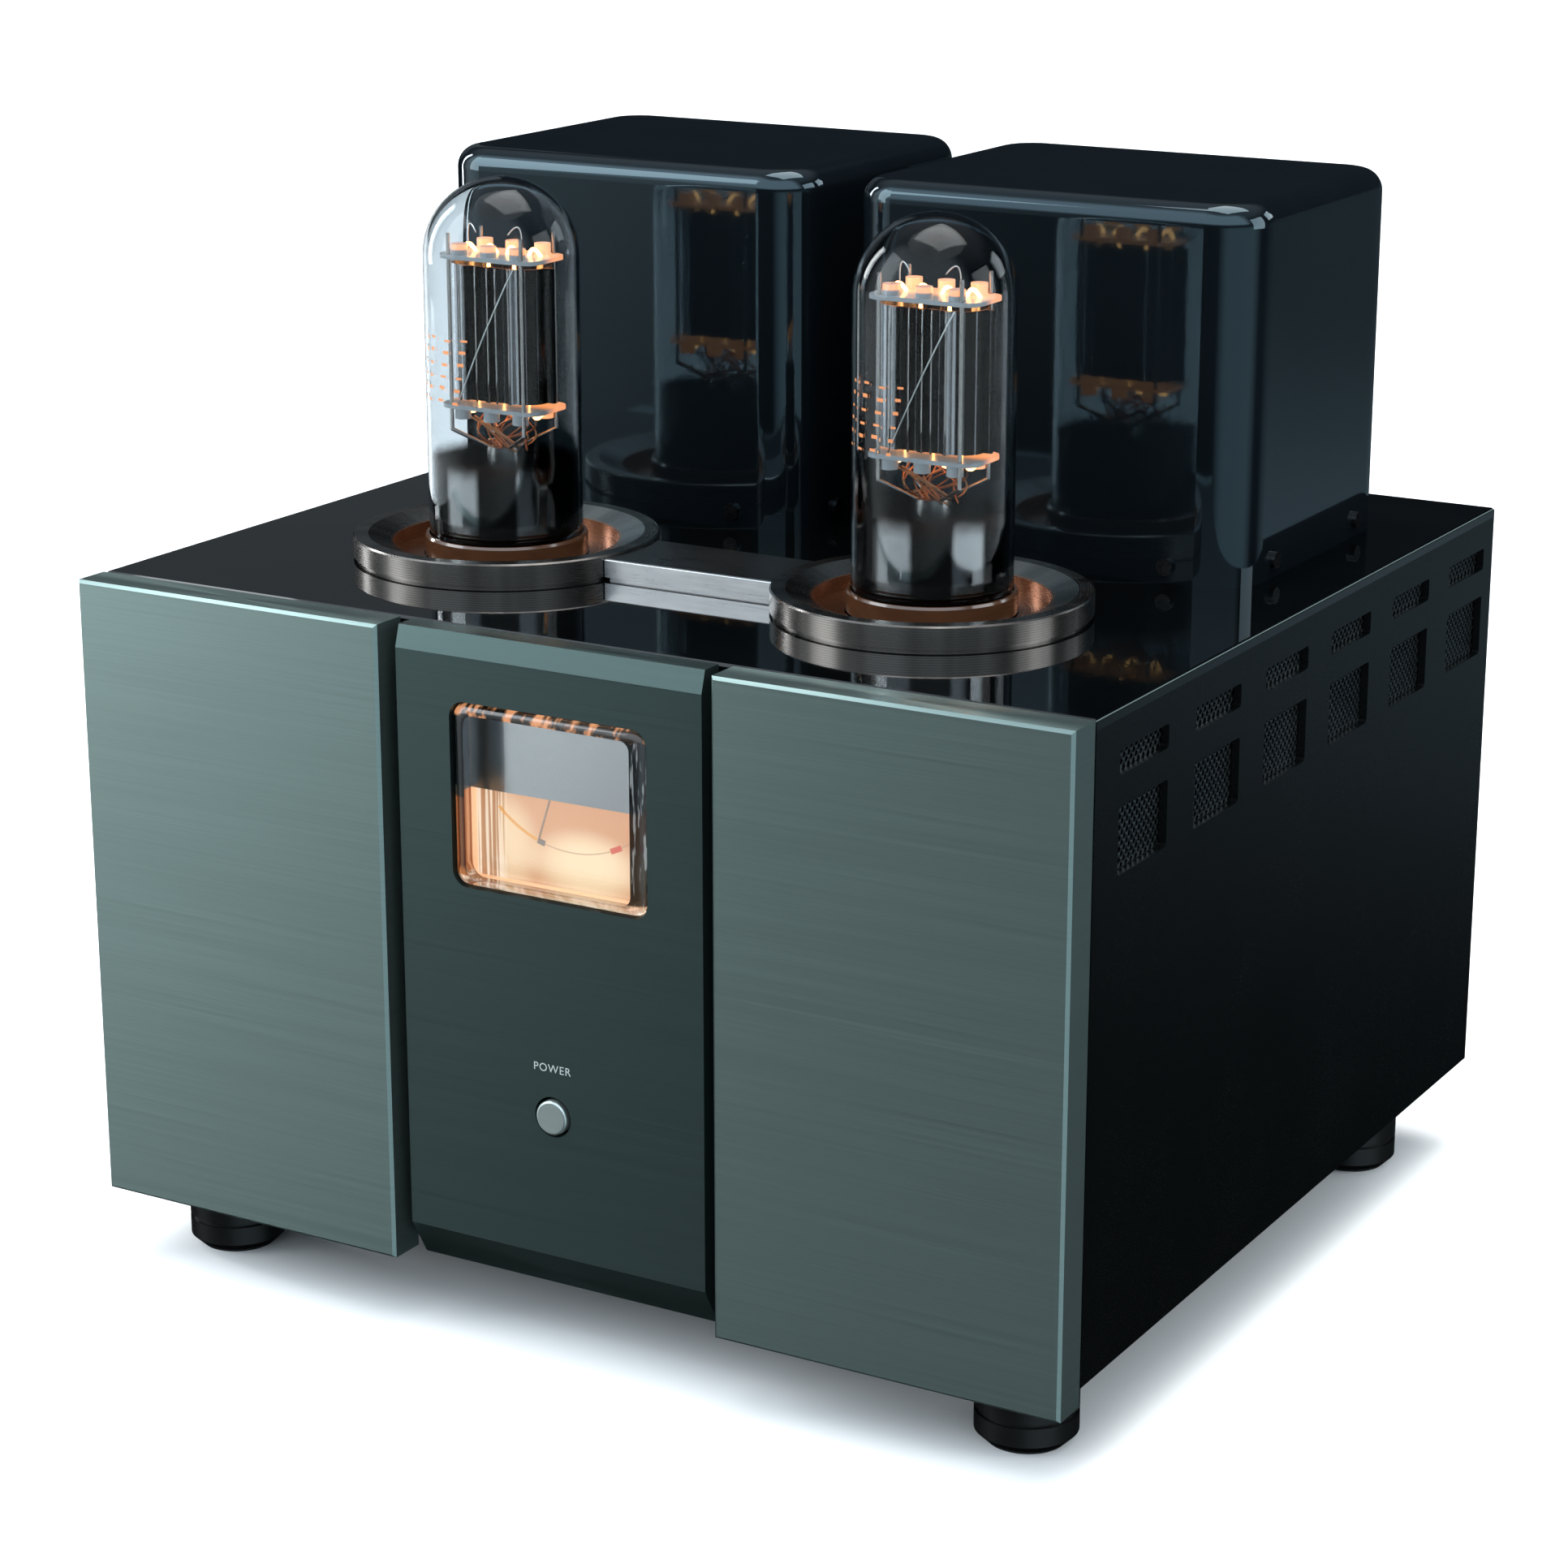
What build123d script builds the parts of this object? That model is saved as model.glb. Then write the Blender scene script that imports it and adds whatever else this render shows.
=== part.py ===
from build123d import *
import os
from math import cos, radians, sin

os.makedirs("parts", exist_ok=True)

# Two-valve power amplifier. Millimetres, +Z up, front facing -Y.
# Origin: centre of the footprint, on the surface that the feet stand on.

# ---- driving dimensions ----
body_width = 430.0
body_depth = 401.0          # front face of the wings to the rear face of the rear panel
body_height = 247.0         # underside of the chassis to the deck
foot_height = 37.0

# sheet metal
side_thickness = 3.0
deck_thickness = 4.0
base_thickness = 2.5
rear_thickness = 3.0
subpanel_thickness = 3.0
seam_gap = 1.0              # shadow line between the front plates and the sides
rail_size = 10.0
edge_break = 1.0

# front plates
wing_thickness = 16.0
wing_height = 254.0
wing_inner_x = 72.5
wing_edge_break = 1.2
centre_half_width = 66.5
centre_recess = 4.0         # centre panel's face behind the wings' face
top_bevel_height = 8.5
top_bevel_depth = 2.6
bottom_bevel_height = 15.5
bottom_bevel_depth = 9.0

# meter
lens_width = 85.2
lens_height = 71.0
lens_corner = 6.0
lens_proud = 1.0
lens_depth = 23.0           # solid crystal, front face to the mask
lens_top = 26.0             # below the deck
lens_clearance = 0.4
housing_wall = 2.5
housing_depth = 30.0
housing_clearance = 0.4
mask_thickness = 0.6
mask_height = 36.0
needle_gap = 1.2
needle_thickness = 0.4
needle_length = 45.0
needle_width = 0.7
needle_angle = 18.0         # left of straight down
pivot_below_top = 10.4      # needle pivot below the lens's top edge
needle_hub_radius = 3.2
spindle_radius = 0.8
spindle_length = 7.0
spindle_clearance = 0.08
dial_hole_radius = 1.2
dial_gap = 1.5
dial_thickness = 0.8
lamp_radius = 3.0
lamp_length = 9.0
lamp_spacing = 34.0
lamp_height = 9.0           # above the housing's floor

# power button
button_radius = 6.8
button_bore = 8.0
button_proud = 1.6
button_below_deck = 182.0
button_head = 9.0
stem_radius = 3.0
stem_clearance = 0.08
switch_size = (22.0, 26.0, 22.0)

# valves
valve_x = 96.0
valve_y = 121.5             # behind the front face
glass_radius = 30.6
glass_wall = 1.3
glass_top = 150.0           # above the deck
glass_bottom = 4.0
neck_round = 8.0
collar_wall = 1.8           # outside the glass
collar_top = 9.5
collar_gap = 0.2
seat_height = 1.4           # collar's underside above the deck
barrel_radius = 25.0
barrel_length = 26.0        # below the collar's underside
barrel_clearance = 0.3
pin_radius = 2.4
pin_length = 9.0
pin_circle = 17.0
pin_clearance = 0.3
socket_radius = 33.0
socket_floor = 7.0

# electrodes, heights above the deck
anode_bottom = 63.0
anode_top = 116.0
anode_width = 42.0
anode_depth = 20.0
anode_wall = 0.8
anode_rib = 1.6
spacer_gap = 2.2
spacer_thickness = 1.6
spacer_width = 46.0
spacer_depth = 26.0
spacer_corner = 6.0
nut_radius = 3.2
nut_height = 4.2
nut_spacing = 13.6
rod_radius = 0.8
rod_x = 17.0
rod_y = 11.6
filament_radius = 0.45
filament_half_width = 12.0
stem_base_radius = 12.0
stem_top_radius = 7.0
stem_top = 44.0

# rings round the valves
ring_radius = 61.0
ring_height = 9.7
ring_rim = 6.0
ring_wall_radius = 45.0
ring_cone_foot = 6.5
ring_floor = 1.0
ring_undercut = 1.3
ring_edge_break = 0.6
ring_fit = 0.6              # ring floor to collar

# nameplate bar
bar_depth = 38.0
bar_height = 8.5
bar_gap = 0.5
bar_plinth = 1.2
bar_overlap = 0.9           # half-width as a share of the gap's widest span

# transformer covers
cover_width = 174.0
cover_depth = 145.0
cover_height = 147.0
cover_inner_x = 10.5
cover_front = 206.0         # behind the front face
cover_corner = 20.0
cover_edge_round = 9.0
cover_wall = 2.0
screw_head_radius = 3.4
screw_head_height = 1.8
screw_radius = 1.5
screw_clearance = 0.2
screw_length = 6.0
cover_screw_z = 7.0
cover_screw_front = 111.0   # spacing on the front and back
cover_screw_side = 83.0     # spacing on the sides

# transformers, wound on E-I cores
core_width = 126.0
core_height = 105.0
core_stack = 52.0
core_limb = 21.0
coil_clearance = 0.5
coil_round = 8.0
output_stack = 62.0

# feet
foot_radius = 19.5
foot_x = 182.0
foot_setback = 22.0         # front feet's axes behind the sub-panel
foot_rear = 352.0
foot_groove = 1.2
foot_groove_width = 1.8
foot_groove_levels = (12.0, 24.0)
foot_edge = 3.0
pad_radius = 15.0
pad_thickness = 3.0
pad_recess = 1.5
foot_screw_radius = 3.0
foot_screw_head = 5.5
foot_screw_seat = 14.0
foot_screw_clearance = 0.2

# vents in the sides
vent_columns = 6
vent_length = 40.0
vent_pitch = 62.8
vent_first = 36.5           # front edge of the first column, behind the front face
upper_vent_top = 15.5       # below the deck
upper_vent_height = 9.0
lower_vent_top = 36.0
lower_vent_height = 25.0
vent_corner = 1.5
mesh_thickness = 0.8
mesh_margin = 5.0
mesh_slot = 1.4
mesh_pitch = 3.0
mesh_land = 1.5             # uncut metal at the ends of a slot

# board and what stands on it
board_width = 230.0
board_depth = 150.0
board_thickness = 1.6
board_front = 70.0          # behind the front face
standoff_radius = 4.0
standoff_height = 12.0
standoff_inset = 8.0
capacitor_radius = 17.5
capacitor_height = 55.0
capacitor_spacing = 44.0
capacitor_count = 4
driver_radius = 10.5
driver_height = 48.0
driver_base_height = 10.0
driver_base_radius = 12.0
driver_spacing = 52.0

# rear connections, heights above the chassis's underside
inlet_x = -150.0
inlet_z = 60.0
inlet_flange = (50.0, 24.0)
inlet_flange_thickness = 2.5
inlet_body = (28.0, 20.0)
inlet_body_depth = 24.0
inlet_socket = (24.4, 16.4)
inlet_socket_depth = 17.0
inlet_pin = (2.0, 4.0)
inlet_pin_length = 10.5
inlet_pin_spacing = 7.0
inlet_clearance = 0.3
jack_x = 120.0
jack_z = 150.0
jack_radius = 4.15
jack_length = 9.0
jack_flange_radius = 7.0
jack_flange = 2.0
jack_thread_radius = 3.2
jack_bore_radius = 1.6
jack_nut_radius = 5.5
jack_nut = 2.5
post_x = 60.0
post_spacing = 34.0
post_z = 60.0
post_radius = 4.0
post_bore_radius = 2.0
post_bore_depth = 14.0
post_flange_radius = 10.0
post_flange = 5.0
post_thread_radius = 3.0
post_nut_radius = 6.0
post_nut = 3.0
cap_radius = 9.5
cap_length = 20.0
cap_clearance = 0.08
cap_flutes = 12
cap_flute_radius = 1.1
cap_gap = 0.3

# ---- worked out from the driving dimensions ----
terminal_reach = post_flange + cap_gap + cap_length
front_y = -(body_depth + terminal_reach) / 2
rear_y = front_y + body_depth
base_z = foot_height
deck_z = base_z + body_height
under_deck = deck_z - deck_thickness
subpanel_y = front_y + wing_thickness
chassis_y = subpanel_y + seam_gap
inside_front = subpanel_y + subpanel_thickness
inside_rear = rear_y - rear_thickness
inside_x = body_width / 2 - side_thickness
inside_depth = inside_rear - inside_front
front_foot_y = inside_front + foot_setback
floor_z = base_z + base_thickness
wing_z = deck_z - wing_height
centre_y = front_y + centre_recess
lens_z = deck_z - lens_top - lens_height / 2
button_z = deck_z - button_below_deck
valve_axis_y = front_y + valve_y
collar_radius = glass_radius + collar_wall
cover_x = cover_inner_x + cover_width / 2
cover_y = front_y + cover_front + cover_depth / 2
foot_places = {
    "foot_front_left": (-foot_x, front_foot_y),
    "foot_front_right": (foot_x, front_foot_y),
    "foot_rear_left": (-foot_x, front_y + foot_rear),
    "foot_rear_right": (foot_x, front_y + foot_rear),
}
sides = {"left": -1, "right": 1}


def save(piece, name):
    piece.label = name
    export_step(piece, f"parts/{name}.step")


def wall_plane(y):
    """An upright plane at depth y: x to the right, y up, and it extrudes towards the front."""
    return Plane(origin=(0, y, 0), x_dir=(1, 0, 0), z_dir=(0, -1, 0))


# ---- chassis: flat panels screwed to four corner rails ----
rail_places = [
    (side * (inside_x - rail_size / 2), rail_z)
    for side in sides.values()
    for rail_z in (floor_z + rail_size / 2, under_deck - rail_size / 2)
]
with BuildPart() as base_plate:
    with BuildSketch(Plane.XY.offset(base_z)):
        with Locations((0, (inside_front + inside_rear) / 2)):
            Rectangle(2 * inside_x, inside_depth)
        with Locations(*foot_places.values()):
            Circle(foot_screw_radius + foot_screw_clearance, mode=Mode.SUBTRACT)
    extrude(amount=base_thickness)
save(base_plate.part, "base_plate")

with BuildPart() as top_plate:
    with BuildSketch(Plane.XY.offset(under_deck)):
        with Locations((0, (chassis_y + rear_y) / 2)):
            Rectangle(body_width, rear_y - chassis_y)
        with Locations((-valve_x, valve_axis_y), (valve_x, valve_axis_y)):
            Circle(barrel_radius + barrel_clearance, mode=Mode.SUBTRACT)
    extrude(amount=deck_thickness)
    top_edges = top_plate.faces().sort_by(Axis.Z)[-1].outer_wire().edges()
    chamfer(top_edges, edge_break)
save(top_plate.part, "top_plate")

rear_holes = {
    "jack": (jack_x, base_z + jack_z, jack_thread_radius + 0.2),
    "post_red": (post_x - post_spacing / 2, base_z + post_z, post_thread_radius + 0.2),
    "post_black": (post_x + post_spacing / 2, base_z + post_z, post_thread_radius + 0.2),
}
with BuildPart() as rear_panel:
    with BuildSketch(wall_plane(rear_y)):
        with Locations((0, (base_z + under_deck) / 2)):
            Rectangle(2 * inside_x, under_deck - base_z)
        with Locations((inlet_x, base_z + inlet_z)):
            Rectangle(
                inlet_body[0] + 2 * inlet_clearance,
                inlet_body[1] + 2 * inlet_clearance,
                mode=Mode.SUBTRACT,
            )
        for hole_x, hole_z, hole_radius in rear_holes.values():
            with Locations((hole_x, hole_z)):
                Circle(hole_radius, mode=Mode.SUBTRACT)
        with Locations(*rail_places):
            Circle(screw_radius + screw_clearance, mode=Mode.SUBTRACT)
    extrude(amount=rear_thickness)
save(rear_panel.part, "rear_panel")


def side_panel(side):
    """A flat side sheet with two rows of vents, its outer face on the body's width."""
    outer = Plane(origin=(side * body_width / 2, 0, 0), x_dir=(0, side, 0), z_dir=(side, 0, 0))
    with BuildPart() as panel:
        with BuildSketch(outer):
            with Locations((side * (chassis_y + rear_y) / 2, (base_z + under_deck) / 2)):
                Rectangle(rear_y - chassis_y, under_deck - base_z)
            for column in range(vent_columns):
                vent_y = front_y + vent_first + vent_length / 2 + column * vent_pitch
                for top, height in (
                    (upper_vent_top, upper_vent_height),
                    (lower_vent_top, lower_vent_height),
                ):
                    with Locations((side * vent_y, deck_z - top - height / 2)):
                        RectangleRounded(vent_length, height, vent_corner, mode=Mode.SUBTRACT)
        extrude(amount=-side_thickness)
    return panel.part


def vent_mesh(side):
    """A strip of slotted sheet behind one side's vents, hung from the top rail."""
    inner = Plane(origin=(side * inside_x, 0, 0), x_dir=(0, side, 0), z_dir=(-side, 0, 0))
    strip_length = (vent_columns - 1) * vent_pitch + vent_length + 2 * mesh_margin
    strip_top = under_deck - rail_size
    strip_bottom = deck_z - lower_vent_top - lower_vent_height - mesh_margin
    strip_y = front_y + vent_first - mesh_margin + strip_length / 2
    with BuildPart() as strip:
        with BuildSketch(inner):
            with Locations((side * strip_y, -(strip_top + strip_bottom) / 2)):
                Rectangle(strip_length, strip_top - strip_bottom)
            for top, height in (
                (upper_vent_top, upper_vent_height),
                (lower_vent_top, lower_vent_height),
            ):
                rows = int(height / mesh_pitch)
                with Locations((side * strip_y, top + height / 2 - deck_z)):
                    with GridLocations(vent_pitch, mesh_pitch, vent_columns, rows):
                        Rectangle(vent_length - 2 * mesh_land, mesh_slot, mode=Mode.SUBTRACT)
        extrude(amount=mesh_thickness)
    return strip.part


for side_name, side in sides.items():
    save(side_panel(side), f"side_panel_{side_name}")
    save(vent_mesh(side), f"vent_mesh_{side_name}")

with BuildPart() as chassis_rails:
    with BuildSketch(wall_plane(inside_rear)):
        with Locations(*rail_places):
            Rectangle(rail_size, rail_size)
    extrude(amount=inside_depth)
    with BuildSketch(wall_plane(inside_rear)):
        with Locations(*rail_places):
            Circle(screw_radius + screw_clearance)
    extrude(amount=screw_length + screw_clearance, mode=Mode.SUBTRACT)
save(chassis_rails.part, "chassis_rails")

with BuildPart() as panel_screws:
    with BuildSketch(wall_plane(rear_y + screw_head_height)):
        with Locations(*rail_places):
            Circle(screw_head_radius)
    extrude(amount=screw_head_height)
    with BuildSketch(wall_plane(rear_y)):
        with Locations(*rail_places):
            Circle(screw_radius)
    extrude(amount=rear_thickness + screw_length)
save(panel_screws.part, "panel_screws")

# ---- front: a steel sub-panel carries two thick wings and the recessed centre panel ----
housing_outer = (lens_width + 2 * housing_wall, lens_height + 2 * housing_wall)
with BuildPart() as front_subpanel:
    with BuildSketch(wall_plane(inside_front)):
        with Locations((0, (base_z + under_deck) / 2)):
            Rectangle(2 * inside_x, under_deck - base_z)
        with Locations((0, lens_z)):
            Rectangle(
                housing_outer[0] + 2 * housing_clearance,
                housing_outer[1] + 2 * housing_clearance,
                mode=Mode.SUBTRACT,
            )
        with Locations((0, button_z)):
            Circle(button_bore, mode=Mode.SUBTRACT)
    extrude(amount=subpanel_thickness)
save(front_subpanel.part, "front_subpanel")

wing_width = body_width / 2 - wing_inner_x
for side_name, side in sides.items():
    with BuildPart() as wing:
        with BuildSketch(wall_plane(subpanel_y)):
            with Locations((side * (wing_inner_x + wing_width / 2), wing_z + wing_height / 2)):
                Rectangle(wing_width, wing_height)
        extrude(amount=wing_thickness)
        chamfer(wing.faces().sort_by(Axis.Y)[0].edges(), wing_edge_break)
    save(wing.part, f"front_wing_{side_name}")

with BuildPart() as centre_panel:
    with BuildSketch(Plane.YZ.offset(-centre_half_width)):
        with BuildLine():
            Polyline(
                (subpanel_y, wing_z),
                (centre_y + bottom_bevel_depth, wing_z),
                (centre_y, wing_z + bottom_bevel_height),
                (centre_y, deck_z - top_bevel_height),
                (centre_y + top_bevel_depth, deck_z),
                (subpanel_y, deck_z),
                close=True,
            )
        make_face()
    extrude(amount=2 * centre_half_width)
    with BuildSketch(wall_plane(subpanel_y)):
        with Locations((0, lens_z)):
            RectangleRounded(
                lens_width + 2 * lens_clearance,
                lens_height + 2 * lens_clearance,
                lens_corner + lens_clearance,
            )
        with Locations((0, button_z)):
            Circle(button_bore)
    extrude(amount=wing_thickness, mode=Mode.SUBTRACT)
save(centre_panel.part, "centre_panel")

# ---- meter: crystal, open-fronted housing, dial, half mask, needle and two lamps ----
lens_front = centre_y - lens_proud
lens_back = lens_front + lens_depth
mask_y = lens_back
needle_y = mask_y + mask_thickness + needle_gap
dial_y = needle_y + needle_thickness + dial_gap
housing_back = subpanel_y + housing_depth
housing_floor = lens_z - lens_height / 2
pivot_z = deck_z - lens_top - pivot_below_top

with BuildPart() as meter_lens:
    with BuildSketch(wall_plane(lens_back)):
        with Locations((0, lens_z)):
            RectangleRounded(lens_width, lens_height, lens_corner)
    extrude(amount=lens_back - lens_front)
    fillet(meter_lens.faces().sort_by(Axis.Y)[0].edges(), edge_break)
save(meter_lens.part, "meter_lens")

with BuildPart() as meter_housing:
    with BuildSketch(wall_plane(housing_back)):
        with Locations((0, lens_z)):
            Rectangle(*housing_outer)
    extrude(amount=housing_depth)
    with BuildSketch(wall_plane(housing_back - housing_wall)):
        with Locations((0, lens_z)):
            Rectangle(lens_width, lens_height)
    extrude(amount=housing_depth, mode=Mode.SUBTRACT)
    boss_y = dial_y + dial_thickness
    with BuildSketch(wall_plane(housing_back - housing_wall)):
        with Locations((0, pivot_z)):
            Circle(needle_hub_radius)
    extrude(amount=housing_back - housing_wall - boss_y)
    with BuildSketch(Plane.XZ.offset(-dial_y - dial_thickness)):
        with Locations((0, pivot_z)):
            Circle(spindle_radius + spindle_clearance)
    extrude(amount=-spindle_length, mode=Mode.SUBTRACT)
save(meter_housing.part, "meter_housing")

with BuildPart() as meter_dial:
    with BuildSketch(wall_plane(dial_y + dial_thickness)):
        with Locations((0, lens_z)):
            Rectangle(lens_width, lens_height)
        with Locations((0, pivot_z)):
            Circle(dial_hole_radius, mode=Mode.SUBTRACT)
    extrude(amount=dial_thickness)
save(meter_dial.part, "meter_dial")

with BuildPart() as meter_mask:
    with BuildSketch(wall_plane(mask_y + mask_thickness)):
        with Locations((0, lens_z + lens_height / 2 - mask_height / 2)):
            Rectangle(lens_width, mask_height)
    extrude(amount=mask_thickness)
save(meter_mask.part, "meter_mask")

with BuildPart() as meter_needle:
    with BuildSketch(wall_plane(needle_y + needle_thickness)):
        with Locations((0, pivot_z)):
            Circle(needle_hub_radius)
        tip_x = -needle_length * sin(radians(needle_angle))
        tip_z = pivot_z - needle_length * cos(radians(needle_angle))
        with BuildLine():
            Line((0, pivot_z), (tip_x, tip_z))
        trace(line_width=needle_width)
    extrude(amount=needle_thickness)
    with BuildSketch(wall_plane(needle_y + spindle_length)):
        with Locations((0, pivot_z)):
            Circle(spindle_radius)
    extrude(amount=spindle_length)
save(meter_needle.part, "meter_needle")

with BuildPart() as meter_lamps:
    with BuildSketch(wall_plane(housing_back - housing_wall)):
        with Locations(
            (-lamp_spacing / 2, housing_floor + lamp_height),
            (lamp_spacing / 2, housing_floor + lamp_height),
        ):
            Circle(lamp_radius)
    extrude(amount=lamp_length)
    fillet(meter_lamps.faces().group_by(Axis.Y)[0].edges(), lamp_radius / 2)
save(meter_lamps.part, "meter_lamps")

# ---- power button on a stem that slides in its switch ----
button_face = centre_y - button_proud
with BuildPart() as power_button:
    with BuildSketch(wall_plane(button_face + button_head)):
        with Locations((0, button_z)):
            Circle(button_radius)
    extrude(amount=button_head)
    fillet(power_button.faces().sort_by(Axis.Y)[0].edges(), edge_break)
    stem_end = inside_front + switch_size[1] / 2
    with BuildSketch(wall_plane(stem_end)):
        with Locations((0, button_z)):
            Circle(stem_radius)
    extrude(amount=stem_end - button_face - button_head)
save(power_button.part, "power_button")

with BuildPart() as power_switch:
    with Locations((0, inside_front + switch_size[1] / 2, button_z)):
        Box(*switch_size)
    with BuildSketch(wall_plane(inside_front + switch_size[1])):
        with Locations((0, button_z)):
            Circle(stem_radius + stem_clearance)
    extrude(amount=switch_size[1], mode=Mode.SUBTRACT)
save(power_switch.part, "power_switch")

# ---- rings, nameplate bar and feet ----
for side_name, side in sides.items():
    axis_x = side * valve_x
    with BuildPart() as socket_ring:
        with BuildSketch(Plane.XZ.offset(-valve_axis_y)):
            with BuildLine():
                Polyline(
                    (axis_x + collar_radius + ring_fit, deck_z),
                    (axis_x + ring_radius - ring_undercut, deck_z),
                    (axis_x + ring_radius - ring_undercut, deck_z + ring_undercut),
                    (axis_x + ring_radius, deck_z + ring_undercut),
                    (axis_x + ring_radius, deck_z + ring_height - ring_edge_break),
                    (axis_x + ring_radius - ring_edge_break, deck_z + ring_height),
                    (axis_x + ring_radius - ring_rim, deck_z + ring_height),
                    (axis_x + ring_wall_radius, deck_z + ring_cone_foot),
                    (axis_x + ring_wall_radius, deck_z + ring_floor),
                    (axis_x + collar_radius + ring_fit, deck_z + ring_floor),
                    close=True,
                )
            make_face()
        revolve(axis=Axis((axis_x, valve_axis_y, 0), (0, 0, 1)))
    save(socket_ring.part, f"socket_ring_{side_name}")

bar_half = valve_x - ring_radius * bar_overlap
with BuildPart() as nameplate_bar:
    for bottom, top, inset in (
        (deck_z, deck_z + bar_plinth, bar_plinth),
        (deck_z + bar_plinth, deck_z + bar_height, 0),
    ):
        with BuildSketch(Plane.XY.offset(bottom)):
            with Locations((0, valve_axis_y)):
                Rectangle(2 * bar_half, bar_depth - 2 * inset)
            with Locations((-valve_x, valve_axis_y), (valve_x, valve_axis_y)):
                Circle(ring_radius + bar_gap + inset, mode=Mode.SUBTRACT)
        extrude(amount=top - bottom)
    bar_rim = nameplate_bar.faces().sort_by(Axis.Z)[-1].edges()
    chamfer(bar_rim, ring_edge_break)
save(nameplate_bar.part, "nameplate_bar")

for foot_name, (foot_x_at, foot_y_at) in foot_places.items():
    with BuildPart() as foot:
        with BuildSketch(Plane.XY.offset(pad_recess)):
            with Locations((foot_x_at, foot_y_at)):
                Circle(foot_radius)
        extrude(amount=foot_height - pad_recess)
        chamfer(foot.faces().sort_by(Axis.Z)[0].edges(), foot_edge)
        for level in foot_groove_levels:
            with BuildSketch(Plane.XY.offset(level)):
                with Locations((foot_x_at, foot_y_at)):
                    Circle(foot_radius + 1)
                    Circle(foot_radius - foot_groove, mode=Mode.SUBTRACT)
            extrude(amount=foot_groove_width, mode=Mode.SUBTRACT)
        for hole_radius, hole_bottom, hole_top in (
            (pad_radius, pad_recess, pad_thickness),
            (foot_screw_head + foot_screw_clearance, pad_thickness, foot_screw_seat),
            (foot_screw_radius + foot_screw_clearance, foot_screw_seat, foot_height),
        ):
            with BuildSketch(Plane.XY.offset(hole_bottom)):
                with Locations((foot_x_at, foot_y_at)):
                    Circle(hole_radius)
            extrude(amount=hole_top - hole_bottom, mode=Mode.SUBTRACT)
    save(foot.part, foot_name)

with BuildPart() as foot_pads:
    with BuildSketch():
        with Locations(*foot_places.values()):
            Circle(pad_radius)
    extrude(amount=pad_thickness)
save(foot_pads.part, "foot_pads")

with BuildPart() as foot_screws:
    with BuildSketch(Plane.XY.offset(foot_screw_seat - foot_screw_radius)):
        with Locations(*foot_places.values()):
            Circle(foot_screw_head)
    extrude(amount=foot_screw_radius)
    with BuildSketch(Plane.XY.offset(foot_screw_seat)):
        with Locations(*foot_places.values()):
            Circle(foot_screw_radius)
    extrude(amount=floor_z + foot_screw_radius - foot_screw_seat)
save(foot_screws.part, "foot_screws")

# ---- transformer covers, their screws, and the transformers inside ----
cover_screw_places = [
    (place_x, place_y, 0, end)
    for place_x in (-cover_screw_front / 2, cover_screw_front / 2)
    for place_y, end in ((-cover_depth / 2, -1), (cover_depth / 2, 1))
] + [
    (place_x, place_y, end, 0)
    for place_y in (-cover_screw_side / 2, cover_screw_side / 2)
    for place_x, end in ((-cover_width / 2, -1), (cover_width / 2, 1))
]


def screw_plane(place, side):
    """The outer face of a cover at one screw, looking outwards."""
    place_x, place_y, out_x, out_y = place
    return Plane(
        origin=(side * cover_x + place_x, cover_y + place_y, deck_z + cover_screw_z),
        z_dir=(out_x, out_y, 0),
    )


for side_name, side in sides.items():
    with BuildPart() as cover:
        with BuildSketch(Plane.XY.offset(deck_z)):
            with Locations((side * cover_x, cover_y)):
                RectangleRounded(cover_width, cover_depth, cover_corner)
        extrude(amount=cover_height)
        fillet(cover.faces().sort_by(Axis.Z)[-1].edges(), cover_edge_round)
        with BuildSketch(Plane.XY.offset(deck_z)):
            with Locations((side * cover_x, cover_y)):
                RectangleRounded(
                    cover_width - 2 * cover_wall,
                    cover_depth - 2 * cover_wall,
                    cover_corner - cover_wall,
                )
        extrude(amount=cover_height - cover_edge_round, mode=Mode.SUBTRACT)
        with BuildSketch(Plane.XY.offset(deck_z + cover_height - cover_edge_round)):
            with Locations((side * cover_x, cover_y)):
                RectangleRounded(
                    cover_width - 2 * cover_edge_round,
                    cover_depth - 2 * cover_edge_round,
                    cover_corner - cover_wall,
                )
        extrude(amount=cover_edge_round - cover_wall, mode=Mode.SUBTRACT)
        for place in cover_screw_places:
            with BuildSketch(screw_plane(place, side)):
                Circle(screw_radius + screw_clearance)
            extrude(amount=-2 * cover_wall, mode=Mode.SUBTRACT)
    save(cover.part, f"transformer_cover_{side_name}")

with BuildPart() as cover_screws:
    for side in sides.values():
        for place in cover_screw_places:
            with BuildSketch(screw_plane(place, side)):
                Circle(screw_head_radius)
            extrude(amount=screw_head_height)
            with BuildSketch(screw_plane(place, side)):
                Circle(screw_radius)
            extrude(amount=-screw_length)
save(cover_screws.part, "cover_screws")

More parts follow.
